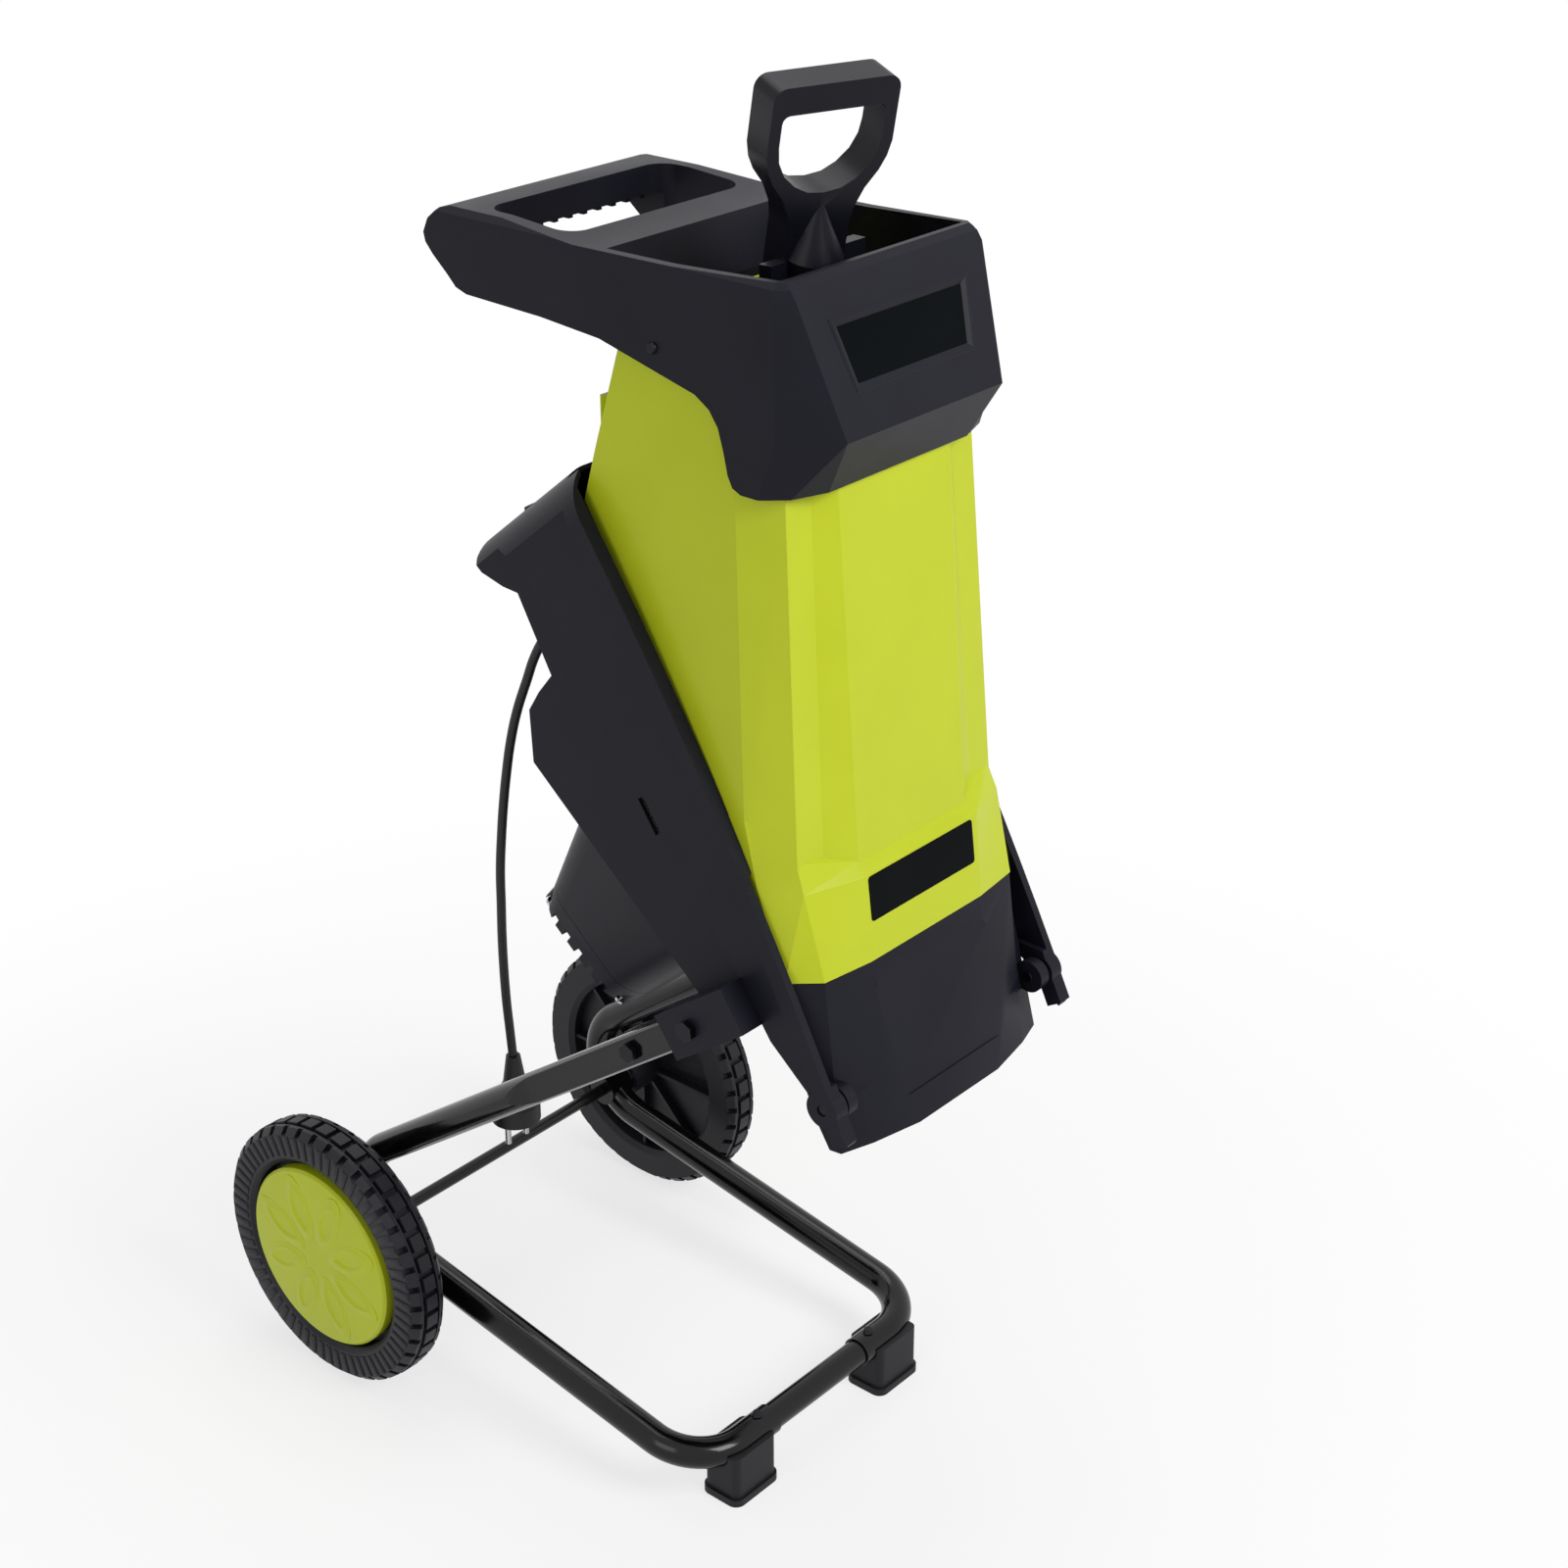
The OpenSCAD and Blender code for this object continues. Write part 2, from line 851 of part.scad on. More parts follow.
module bearing() {
  difference() {
    cylinder(d = bearing_d, h = bearing_h);
    translate([0, 0, -1])
      cylinder(r = shaft_d / 2 + fit, h = bearing_h + 2);
    for (z = [-1, bearing_h - 0.8])
      translate([0, 0, z])
        difference() {
          cylinder(d = bearing_d - 6, h = 1.8);
          translate([0, 0, -1])
            cylinder(d = shaft_d + 6, h = 4);
        }
  }
}

module bearing_upper() {
  color("#c0c3c7")
    drive()
      translate([0, 0, floor_z - 2.2 - bearing_h])
        bearing();
}

module bearing_lower() {
  color("#c0c3c7")
    drive()
      translate([0, 0, cap_end + 8.2])
        bearing();
}

module brushes() {
  color("#3a3a3c")
    drive()
      both_sides()
        difference() {
          translate([14, -5, -119])
            cube([20, 10, 8]);
          translate([0, 0, -130])
            cylinder(r = 16.3, h = 30);
        }
}

module brush_holders() {
  color("#b08d3a")
    drive()
      both_sides()
        translate([24, -8, -124.8])
          difference() {
            cube([14, 16, 22.7]);
            translate([-1, 2.9, 5.7])
              cube([18, 10.2, 8.2]);
          }
}

module motor_shaft() {
  color("#c7c9cc")
    drive()
      translate([0, 0, cap_end + 8.6])
        cylinder(d = shaft_d, h = 20 - cap_end - 8.6);
}

module armature() {
  color("#7b4a2b")
    drive()
      translate([0, 0, -46 - stator_l])
        difference() {
          union() {
            cylinder(r = core_r, h = stator_l);
            translate([0, 0, stator_l - 0.5])
              cylinder(r1 = core_r - 3, r2 = shaft_d / 2 + 6, h = 9);
            translate([0, 0, 0.5])
              mirror([0, 0, 1])
                cylinder(r1 = core_r - 3, r2 = shaft_d / 2 + 6, h = 4.5);
          }
          translate([0, 0, -10])
            cylinder(d = shaft_d + 0.02, h = stator_l + 30);
          for (i = [0:11])
            rotate([0, 0, 30 * i])
              translate([core_r - 3.5, -1.2, -1])
                cube([6, 2.4, stator_l + 2]);
        }
}

module commutator() {
  color("#b87333")
    drive()
      translate([0, 0, -122])
        difference() {
          cylinder(r = 16, h = 15);
          translate([0, 0, -1])
            cylinder(d = shaft_d + 0.02, h = 20);
        }
}

module fan() {
  color("#3b3d42")
    drive()
      translate([0, 0, -37])
        difference() {
          union() {
            cylinder(r = shaft_d / 2 + 5, h = 11);
            cylinder(r = fan_r - 4, h = 1.6);
            for (i = [0:8])
              rotate([0, 0, 40 * i])
                translate([shaft_d / 2 + 3, 0, 0])
                  rotate([0, 0, 18])
                    cube([fan_r - shaft_d / 2 - 13, 1.8, 7]);
          }
          translate([0, 0, -1])
            cylinder(d = shaft_d + 0.02, h = 20);
        }
}

// blade disc

module blade_disc() {
  color("#a4a8ad")
    drive()
      difference() {
        union() {
          cylinder(r = disc_r, h = disc_t);
          translate([0, 0, -5])
            cylinder(r = 20, h = 6);
        }
        translate([0, 0, -6])
          cylinder(d = shaft_d + 0.02, h = 30);
        for (i = [0, 180])
          rotate([0, 0, i]) {
            translate([disc_r * 0.36, -12, -1])
              cube([disc_r * 0.56, 9, 20]);
            for (x = [0.48, 0.78])
              translate([disc_r * x, 8, -1])
                cylinder(d = 6.1, h = 20, $fn = 32);
          }
      }
}

module blade(turn) {
  color("#d3d6da")
    drive()
      rotate([0, 0, turn])
        difference() {
          translate([0, 0, disc_t + 0.02])
            rotate([90, 0, 90])
              translate([0, 0, disc_r * 0.34])
                linear_extrude(disc_r * 0.6)
                  polygon([[-10, 2], [-6, 0], [18, 0], [18, 5], [-3, 5]]);
          for (x = [0.48, 0.78])
            translate([disc_r * x, 8, 0])
              cylinder(d = 6.1, h = 20, $fn = 32);
        }
}

module blade_front() {
  blade(0);
}

module blade_rear() {
  blade(180);
}

module blade_screws() {
  color("#55585c")
    drive()
      for (i = [0, 180])
        rotate([0, 0, i])
          for (x = [0.48, 0.78])
            translate([disc_r * x, 8, -4]) {
              translate([0, 0, -0.05])
                cylinder(d = 6, h = disc_t + 9.2, $fn = 32);
              translate([0, 0, disc_t + 9.04])
                cylinder(d = 11, h = 3, $fn = 32);
              translate([0, 0, -1.1])
                cylinder(d = 11, h = 5, $fn = 6);
            }
}

module disc_nut() {
  color("#8d9096")
    drive()
      difference() {
        union() {
          translate([0, 0, disc_t + 0.02])
            cylinder(r = 18, h = 3);
          translate([0, 0, disc_t + 2.9])
            cylinder(r = shaft_d / 2 + 6, h = 9, $fn = 6);
        }
        translate([0, 0, disc_t - 1])
          cylinder(d = shaft_d + 0.02, h = 20);
      }
}

// chute, hopper and guard

function chute_pts(z) =
  let (f = (skirt_z - z) / 256, w = wide(105.5) + (z > skirt_z ? -0.0745 * (z - skirt_z) : 11 * f))
  [[w, 232 + 0.26 * (z - 776)], [w, 358 + 16 * f], [wide(94) + 9 * f, 389 + 18 * f],
    [wide(71) + 8 * f, 390 + 19 * f], [wide(56.5) + 0.5 * f, 400 + 20 * f]];

// d > 0 draws the skin inwards; far pushes the rear face back and opens both ends
module chute_loft(d, far) {
  loft([for (z = far > 0 ? [seam_z - 0.5 - 5 * far, skirt_z, lip_z + 5 * far] : [seam_z, skirt_z, lip_z])
    let (h = chute_pts(z), b = far > 0 ? concat([[h[0][0], h[0][1] - 60]], [for (i = [1:4]) h[i]]) : h)
    lift(shrink(both(b), d), z)]);
}

// proud band along the bottom of the chute
module band_loft(d) {
  loft([
    lift(shrink(both([[wide(119.4), 330], [wide(119.2), 409.5], [wide(101.6), 429], [wide(60), 434.5]]), d),
      seam_z - (d > 0 ? 1 : 0)),
    lift(shrink(both([[wide(116.8), 330], [wide(116.6), 384], [wide(104), 413], [wide(62), 427]]), d), 538 - d),
    [for (p = [[-115.2, 330, 583], [-115.2, 372, 583], [-102, 405, 557], [-57, 419.4, 547],
               [57, 419.4, 547], [102, 405, 557], [115.2, 372, 583], [115.2, 330, 583]])
      [sign(p[0]) * (wide(abs(p[0])) - d), -p[1] + d, p[2] - d]]]);
}

module chute() {
  color("#c3cf27")
    upper()
      difference() {
        union() {
          difference() {
            union() {
              chute_loft(0, 0);
              band_loft(0);
            }
            chute_loft(wall, 1);
            band_loft(wall);
            behind_rim(lap);
          }
          // ledges that stop the pusher
          intersection() {
            chute_loft(1, 0);
            at(push_s, push_foot - 4)
              both_sides()
                translate([72, -36, -4])
                  cube([60, 72, 7.9]);
          }
          // bosses that carry the rear panel
          difference() {
            intersection() {
              chute_loft(1, 0);
              both_sides()
                for (z = panel_z)
                  let (h = chute_pts(z))
                  translate([h[0][0] - wall - 12, -h[0][1] - wall - 16, z - 6])
                    cube([30, 18, 12]);
            }
            loft([for (z = [700, skirt_z, lip_z + 20])
              let (h = chute_pts(z))
              lift(both([[h[0][0] - wall + 0.4, h[0][1] - 20], [h[0][0] - wall + 0.4, h[0][1] + wall + 0.3]]), z)]);
          }
        }
        // screw holes to the hopper and the guard
        at(290, screw_z)
          bar_x(4.2, 300);
        // holes for the screws of the rear panel
        both_sides()
          for (z = panel_z)
            let (h = chute_pts(z))
            translate([h[0][0] - wall - 6, -h[0][1], z])
              rotate([90, 0, 0])
                cylinder(d = 3, h = 22, $fn = 32);
        for (x = [-80, 0, 80])
          translate([x, -424, seam_z - 1])
            cylinder(d = 3.4, h = 12, $fn = 32);
      }
}

module chute_back() {
  color("#c3cf27")
    upper()
      difference() {
        union() {
          loft([for (z = [742, skirt_z, lip_z])
            let (h = chute_pts(z))
            lift(both([[h[0][0] - wall - 0.2, h[0][1]], [h[0][0] - wall - 0.2, h[0][1] + wall]]), z)]);
          intersection() {
            at(lock_p[0], lock_p[1])
              rotate([lock_tilt, 0, 0])
                translate([0, 0, -20])
                  cylinder(r = screw_d / 2 + 12, h = 36);
            loft([for (z = [700, 830])
              let (h = chute_pts(z))
              lift(both([[60, h[0][1] + 0.02], [60, h[0][1] + 60]]), z)]);
          }
        }
        at(lock_p[0], lock_p[1])
          rotate([lock_tilt, 0, 0])
            translate([0, 0, -30])
              cylinder(r = screw_d / 2 + 5, h = 70);
        both_sides()
          for (z = panel_z)
            let (h = chute_pts(z))
            translate([h[0][0] - wall - 6, -h[0][1] + 10, z])
              rotate([90, 0, 0])
                cylinder(d = 3.4, h = 22, $fn = 32);
        behind_rim(lap);
      }
}

module chute_screws() {
  color("#8d9096")
    upper()
      both_sides()
        for (z = panel_z)
          let (h = chute_pts(z))
          translate([h[0][0] - wall - 6, -h[0][1] + 3, z])
            rotate([90, 0, 0]) {
              cylinder(d = 7, h = 2, $fn = 32);
              cylinder(d = 2.9, h = 18, $fn = 32);
            }
}

// outer skin at height z: side, two corner points and the front
function hopper_pts(z) =
  let (g = (z - 840) / (rim_z - 840), f = (z - skirt_z) / 38)
  z > 840 ? [[wide(106.8) - 7.3 * g, 60], [wide(106.8) - 7.3 * g, 392 - 8 * g], [wide(92) + 4 * g, 409 - 21 * g],
      [wide(78) + 15 * g, 425 - 33 * g]]
    : [[wide(109) - 2.2 * f, 60], [wide(109) - 2.2 * f, 380 + 12 * f], [wide(96) - 4 * f, 394.5 + 14.5 * f],
      [wide(70) + 8 * f, 404 + 21 * f]];

// (s, z) outline of the hopper seen from the side, anticlockwise
hopper_side = concat(
  [[106, 892], [114, 885], [124, 882], [192, 880], [244, 876], [300, 863], [326, 857], [338, 850], [346, 840],
    [351, 826], [355, 812], [359, 805], [366, skirt_z], [450, skirt_z], [450, rim_z]],
  [[388, rim_z], [300, rim_z - 4], [218, rim_z - 5], [150, rim_z], [102, rim_z], [94, rim_z - 2], [87, rim_z - 9],
    [83, rim_z - 19], [85, rim_z - 25], [92, rim_z - 32]]);

module hopper_top() {
  color("#33343c")
    upper()
      difference() {
        union() {
          difference() {
            intersection() {
              across(260)
                polygon(hopper_side);
              // the top edge turns in over the rounded rim
              loft([for (q = [[skirt_z - 1, 0], [840, 0], [rim_z - 10, 0], [rim_z - 4, 2], [rim_z + 1, 7]])
                lift(shrink(both(hopper_pts(q[0])), q[1]), q[0])]);
            }
            // throat
            loft([
              for (q = [[skirt_z - 4, 232, 0], [840, 244, 0], [lip_z + 2, 250, 0], [rim_z - 6, 233, 5],
                  [rim_z + 3, 226, 9]])
                let (h = hopper_pts(q[0]))
                lift(shrink(both([[h[0][0], q[1]], h[1], h[2], h[3]]), wall + q[2]), q[0])]);
            // hollow under the grip bar
            translate([-slot_half, -130, rim_z - 80])
              cube([2 * slot_half, 38, 60]);
          }
          // finger ribs under the grip
          for (i = [-5:5])
            translate([i * 14 - 2, -119, rim_z - 24])
              cube([4, 26, 8]);
        }
        // grip slot
        translate([0, -124 - slot_l / 2, rim_z - 90])
          linear_extrude(140)
            round_rect(2 * slot_half, slot_l, 16);
        // shallow field on the front face
        at(407.4, 887)
          rotate([71, 0, 0])
            translate([0, 0, -0.1])
              linear_extrude(30)
                polygon([[-58, -23], [58, -23], [67, 23], [-67, 23]]);
        // screw holes to the chute
        at(290, screw_z)
          bar_x(4.2, 300);
      }
}

module hopper_screws() {
  color("#55585c")
    upper()
      both_sides()
        translate([hopper_pts(screw_z)[0][0] + 0.4, -290, screw_z])
          rotate([0, 90, 0]) {
            cylinder(d1 = 8, d2 = 6, h = 2, $fn = 32);
            translate([0, 0, -12])
              cylinder(d = 4, h = 12.5, $fn = 32);
          }
}

guard_rings = [
  [[wide(111), 380], [wide(111), 436], [wide(109), 450], [wide(84), 458], [wide(44), guard_front]],
  [[wide(112.5), 330], [wide(112.5), 392], [wide(119), 409], [wide(101.2), 428.6], [wide(60), 433.6]]];

function guard_pts(z, far) =
  let (f = (z - guard_low) / (seam_z - 0.6 - guard_low))
  [for (i = [0:4]) guard_rings[0][i] * (1 - f) + guard_rings[1][i] * f - [0, i == 0 ? 60 * far : 0]];

module guard_loft(d, far) {
  loft([for (z = [guard_low - 5 * far, seam_z - 0.6 + 5 * far])
    lift(shrink(both(guard_pts(z, far)), d), z)]);
}

module discharge_guard() {
  color("#2f3036")
    upper()
      difference() {
        union() {
          difference() {
            guard_loft(0, 0);
            difference() {
              guard_loft(wall, 1);
              at(470, seam_z)
                cube([400, 120, 8], center = true);
            }
            behind_rim(34);
          }
          // ears on the pivot line
          at(hinge[0], hinge[1])
            both_sides()
              translate([chamber_half - 15, 0, 0])
                rotate([0, 90, 0])
                  cylinder(r = 12, h = 9);
        }
        at(hinge[0], hinge[1])
          bar_x(hinge_d + 0.02, 400);
        for (x = [-80, 0, 80])
          translate([x, -424, seam_z - 30])
            cylinder(d = 4.2, h = 60, $fn = 32);
        // shallow field on the front
        at(448.5, 420)
          rotate([75, 0, 0])
            translate([0, 0, 0])
              linear_extrude(20)
                round_rect(124, 84, 6);
      }
}

module guard_screws() {
  color("#8d9096")
    upper()
      for (x = [-80, 0, 80])
        translate([x, -424, seam_z - 4.1]) {
          translate([0, 0, -2.4])
            cylinder(d = 7, h = 2.4, $fn = 32);
          translate([0, 0, -0.1])
            cylinder(d = 3.2, h = 13, $fn = 32);
        }
}

module hinge_pins() {
  color("#b9bcc0")
    upper()
      at(hinge[0], hinge[1])
        both_sides()
          translate([chamber_half - 16, 0, 0])
            rotate([0, 90, 0])
              cylinder(d = hinge_d, h = housing_half - chamber_half + 15);
}

// clamp

module clamp_insert() {
  color("#c9a24a")
    lock()
      translate([0, 0, -12])
        difference() {
          cylinder(r = screw_d / 2 + 4.95, h = 26);
          translate([0, 0, -1])
            cylinder(d = screw_d + 1.2, h = 30);
        }
}

module clamp_knob() {
  color("#232428")
    lock()
      translate([0, 0, -knob_from])
        mirror([0, 0, 1])
          difference() {
            union() {
              translate([0, 0, 0.4])
                cylinder(r = knob_r - 5, h = 16);
              translate([0, 0, 16])
                cylinder(r = knob_r, h = 34);
              translate([0, 0, 49])
                cylinder(r1 = knob_r - 2, r2 = knob_r - 11, h = 18);
            }
            for (i = [0:7])
              rotate([0, 0, 45 * i + 22.5])
                translate([knob_r + 5, 0, 18])
                  cylinder(r = 9, h = 60, $fn = 32);
            translate([0, 0, -1])
              cylinder(d = screw_d + 0.02, h = 40);
          }
}

module clamp_screw() {
  color("#b9bcc0")
    lock()
      translate([0, 0, -knob_from - 38])
        cylinder(d = screw_d, h = knob_from + 38 + 10);
}

// pusher

// neck and loop seen from the front, from the base of the cone up
module handle_shape() {
  h = loop_half;
  side = concat([[22, -24], [22, 20], [24, 30], [h * 0.66, 42], [h * 0.85, 53], [h * 0.95, 62], [h, 72]],
    [for (q = [0:6]) [h - 9 + 9 * cos(15 * q), loop_h - 9 + 9 * sin(15 * q)]]);
  hole = concat([[12, 44.5], [22, 49.5], [h * 0.68, 57.5], [h * 0.79, 67], [h - 8, 77]],
    [for (q = [0:3]) [h - 13 + 5 * cos(30 * q), loop_h - 23 + 5 * sin(30 * q)]]);
  difference() {
    polygon(concat(side, rev([for (p = side) [-p[0], p[1]]])));
    polygon(concat([[0, 43]], hole, rev([for (p = hole) [-p[0], p[1]]])));
  }
}

module pusher() {
  color("#2b2c31")
    upper()
      at(push_s, 0)
        difference() {
          union() {
            // hand loop, cranked over to the front
            translate([loop_x, 0, loop_z])
              rotate([0, 0, loop_turn])
                rotate([loop_lean, 0, 0]) {
                  rotate([90, 0, 0])
                    linear_extrude(loop_t, center = true)
                      handle_shape();
                  translate([0, 3 - loop_t / 2, 0])
                    cylinder(r1 = stem_r, r2 = 1.5, h = 37);
                  translate([0, 3 - loop_t / 2, -22])
                    cylinder(r = stem_r, h = 22.01);
                }
            translate([loop_x, 0, push_foot + 8.1])
              cylinder(r = stem_r, h = loop_z - push_foot - 16);
            translate([-46, -5, push_foot + 8.1])
              cube([92, 10, cone_z - push_foot]);
          }
          translate([loop_x, 0, push_foot - 1])
            cylinder(r = stem_r - wall, h = cone_z - push_foot - 30);
          for (x = [-38, 38])
            translate([x, 0, push_foot])
              cylinder(d = 3.2, h = 30, $fn = 32);
        }
}

module pusher_foot() {
  color("#2b2c31")
    upper()
      at(push_s, push_foot)
        difference() {
          linear_extrude(8)
            round_rect(164, 76, 10);
          for (x = [-38, 38])
            translate([x, 0, -1])
              cylinder(d = 4.2, h = 20, $fn = 32);
        }
}

module pusher_screw() {
  color("#8d9096")
    upper()
      at(push_s, push_foot)
        for (x = [-38, 38])
          translate([x, 0, -2.5]) {
            cylinder(d = 8, h = 2.4, $fn = 32);
            translate([0, 0, 2.3])
              cylinder(d = 3, h = 24, $fn = 32);
          }
}

// switch and buttons on the back wall, local z points out of the wall

back_a = [174, 690];
back_b = [203, 638];
back_t = 180 + atan2(back_b[0] - back_a[0], back_a[1] - back_b[1]);

module back_frame() {
  upper()
    at((back_a[0] + back_b[0]) / 2, (back_a[1] + back_b[1]) / 2)
      rotate([-90 - (back_t - 180), 0, 0])
        children();
}

box_x = 8;

module switch_box() {
  color("#1d1e21")
    back_frame()
      translate([box_x, 0, 0])
        difference() {
          translate([0, 0, 0.1])
            linear_extrude(20)
              round_rect(84, 46, 6);
          for (x = [-27, 0])
            translate([x, 0, 8])
              linear_extrude(30)
                round_rect(20 + 0.6, 30 + 0.6, 3);
          translate([27, 0, 8])
            cylinder(r = 7.3, h = 30);
        }
}

module on_button() {
  color("#2f9e44")
    back_frame()
      translate([box_x - 27, 0, 8.2 + press])
        linear_extrude(15)
          round_rect(20, 30, 3);
}

module off_button() {
  color("#d02b2b")
    back_frame()
      translate([box_x, 0, 8.2 + press])
        linear_extrude(16.5)
          round_rect(20, 30, 3);
}

module reset_button() {
  color("#3a3b40")
    back_frame()
      translate([box_x + 27, 0, 8.2 + press])
        cylinder(r = 7, h = 14);
}

// supply cord

gland_x = -62;

module cord_gland() {
  color("#1b1b1d")
    back_frame()
      translate([gland_x, -2, 0.1])
        difference() {
          union() {
            cylinder(r = cord_d / 2 + 6, h = 5);
            cylinder(r1 = cord_d / 2 + 4, r2 = cord_d / 2 + 1.6, h = 26);
          }
          translate([0, 0, 4])
            cylinder(d = cord_d + 0.1, h = 40);
        }
}

module supply_cord() {
  color("#151517")
    cord_run();
}

// cord centre line in (x, s, z), hanging from the gland to the plug
function gland_at(k) =
  let (u = unit(back_b - back_a), p = (back_a + back_b) / 2 - 2 * u + k * [u[1], -u[0]])
  [gland_x, p[0], p[1]];
cord_pts = concat([gland_at(5), gland_at(15), gland_at(28)], [[-62.5, 153, 644], [-63, 143, 633],
  [-64, 132, 615], [-65, 123, 593], [-67, 114, 568], [-68, 107, 543], [-69, 102, 517], [-70, 98, 490], [-71, 95, 462], [-72, 93, 434],
  [-72, 92, 406], [-72, 91, 378], [-72, 91, 350], [-72, 92, 322], [-71, 93, 296], [-70, 94, 270]]);

module cord_run() {
  n = 10;
  pts = [for (p = cord_pts) [p[0], -p[1], p[2]]];
  m = len(pts);
  upper()
    polyhedron(
      points = [for (k = [0:m - 1])
        let (t = unit(pts[min(k + 1, m - 1)] - pts[max(k - 1, 0)]), u = unit(cross([1, 0, 0], t)), v = cross(t, u))
        for (i = [0:n - 1]) pts[k] + (cord_d / 2) * (u * cos(360 * i / n) + v * sin(360 * i / n))],
      faces = concat([[for (i = [0:n - 1]) i]],
        [for (k = [0:m - 2]) for (i = [0:n - 1]) let (j = (i + 1) % n)
          each [[k * n + i, k * n + n + i, k * n + n + j], [k * n + i, k * n + n + j, k * n + j]]],
        [[for (i = [n - 1:-1:0]) (m - 1) * n + i]]));
}

module plug() {
  color("#1a1a1c")
    upper()
      at(94, 272)
        translate([-70, 0, 0])
          difference() {
            union() {
              translate([0, 0, -22])
                cylinder(r1 = 9, r2 = cord_d / 2 + 2, h = 24);
              translate([0, 0, -40])
                cylinder(r1 = 19, r2 = 9, h = 18.5);
              translate([0, 0, -54])
                cylinder(r = 19, h = 14.5);
            }
            translate([0, 0, -8])
              cylinder(d = cord_d + 0.1, h = 20);
            for (x = [-9.5, 9.5])
              translate([x, 0, -56])
                cylinder(d = 4.82, h = 14, $fn = 32);
          }
}

module plug_pins() {
  color("#c0c3c7")
    upper()
      at(94, 272)
        for (x = [-9.5, 9.5])
          translate([-70 + x, 0, -73])
            cylinder(d = 4.8, h = 30, $fn = 32);
}

side_tube_left();
side_tube_right();
cross_tube();
foot_left();
foot_right();
foot_screws();
axle();
axle_nuts();
wheel_washers();
wheel_left();
wheel_right();
wheel_cover_left();
wheel_cover_right();
rear_housing();
motor_cover();
cover_screws();
leg_bolts();
stator();
bearing_upper();
bearing_lower();
brushes();
brush_holders();
switch_box();
on_button();
off_button();
reset_button();
cord_gland();
supply_cord();
plug();
plug_pins();
motor_shaft();
armature();
commutator();
fan();
blade_disc();
blade_front();
blade_rear();
blade_screws();
disc_nut();
chute();
chute_back();
chute_screws();
hopper_top();
hopper_screws();
discharge_guard();
guard_screws();
hinge_pins();
clamp_insert();
clamp_knob();
clamp_screw();
pusher();
pusher_foot();
pusher_screw();
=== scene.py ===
import json
import math

import bmesh
import bpy
from mathutils import Matrix, Vector
from mathutils.bvhtree import BVHTree


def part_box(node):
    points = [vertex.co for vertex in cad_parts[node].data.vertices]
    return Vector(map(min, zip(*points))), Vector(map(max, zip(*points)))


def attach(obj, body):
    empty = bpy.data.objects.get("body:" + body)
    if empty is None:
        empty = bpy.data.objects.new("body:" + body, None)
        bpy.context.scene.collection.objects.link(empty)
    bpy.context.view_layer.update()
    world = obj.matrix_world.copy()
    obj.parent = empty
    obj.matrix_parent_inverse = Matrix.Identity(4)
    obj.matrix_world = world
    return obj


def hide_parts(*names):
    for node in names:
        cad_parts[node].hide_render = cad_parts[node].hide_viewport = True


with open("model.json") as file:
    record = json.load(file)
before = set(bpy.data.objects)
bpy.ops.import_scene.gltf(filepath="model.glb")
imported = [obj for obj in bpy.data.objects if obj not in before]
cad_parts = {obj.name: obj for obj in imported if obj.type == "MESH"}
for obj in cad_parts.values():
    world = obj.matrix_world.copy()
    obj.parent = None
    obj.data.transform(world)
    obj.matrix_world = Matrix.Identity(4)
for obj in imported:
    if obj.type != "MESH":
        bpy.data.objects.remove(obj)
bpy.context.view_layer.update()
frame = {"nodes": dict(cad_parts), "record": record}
NODES = frame["nodes"]
BODY_OF = {n: b for b, ns in frame["record"]["behaviour"]["bodies"].items() for n in ns}
MM = 0.001

# places shared with the solids, in millimetres: s runs forward from the axle
axle_low, axle_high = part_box("axle")
AXLE_Y = (axle_low.y + axle_high.y) / 2 / MM
AXLE_Z = (axle_low.z + axle_high.z) / 2 / MM
# shift of the upper machine, as in the solids
UP_S = 1.273
UP_Z = -1.303


def upper(x, s, z):
    """A point of the upper machine, from (x, s, z) in millimetres to the frame in metres."""
    return Vector((x, AXLE_Y - UP_S - s, z + UP_Z)) * MM


# camera at the viewing angle of the picture
cam_data = bpy.data.cameras.new("camera")
cam_data.sensor_width = 36.0
cam_data.lens = 63.08
cam_data.clip_end = 50.0
camera = bpy.data.objects.new("camera", cam_data)
bpy.context.scene.collection.objects.link(camera)
CAMERA_AT = Vector((-1296.1, AXLE_Y - 1419.8, 1382.7)) * MM
LOOK = Vector((0.6815, 0.5844, -0.4406))
ROLL = math.radians(-0.117)
camera.matrix_world = (
    Matrix.Translation(CAMERA_AT)
    @ LOOK.to_track_quat("-Z", "Y").to_matrix().to_4x4()
    @ Matrix.Rotation(ROLL, 4, "Z")
)
bpy.context.scene.camera = camera
bpy.context.scene.view_settings.view_transform = "Standard"


def linear(code):
    """An sRGB hex colour as linear RGBA."""
    parts = [int(code[i:i + 2], 16) / 255 for i in (1, 3, 5)]
    return tuple(c / 12.92 if c <= 0.04045 else ((c + 0.055) / 1.055) ** 2.4 for c in parts) + (1.0,)


def add(tree, kind, links=(), **settings):
    """Adds a node: settings are its properties or its input values, links are (input, socket) pairs."""
    made = tree.nodes.new(kind)
    for name, value in settings.items():
        if hasattr(made, name):
            setattr(made, name, value)
        else:
            made.inputs[name.replace("_", " ")].default_value = value
    for name, socket in links:
        tree.links.new(socket, made.inputs[name])
    return made


def new_material(name):
    """An empty material with its Principled shader and Object coordinates."""
    made = bpy.data.materials.new(name)
    made.use_nodes = True
    tree = made.node_tree
    shader = tree.nodes["Principled BSDF"]
    coords = add(tree, "ShaderNodeTexCoord").outputs["Object"]
    return made, tree, shader, coords


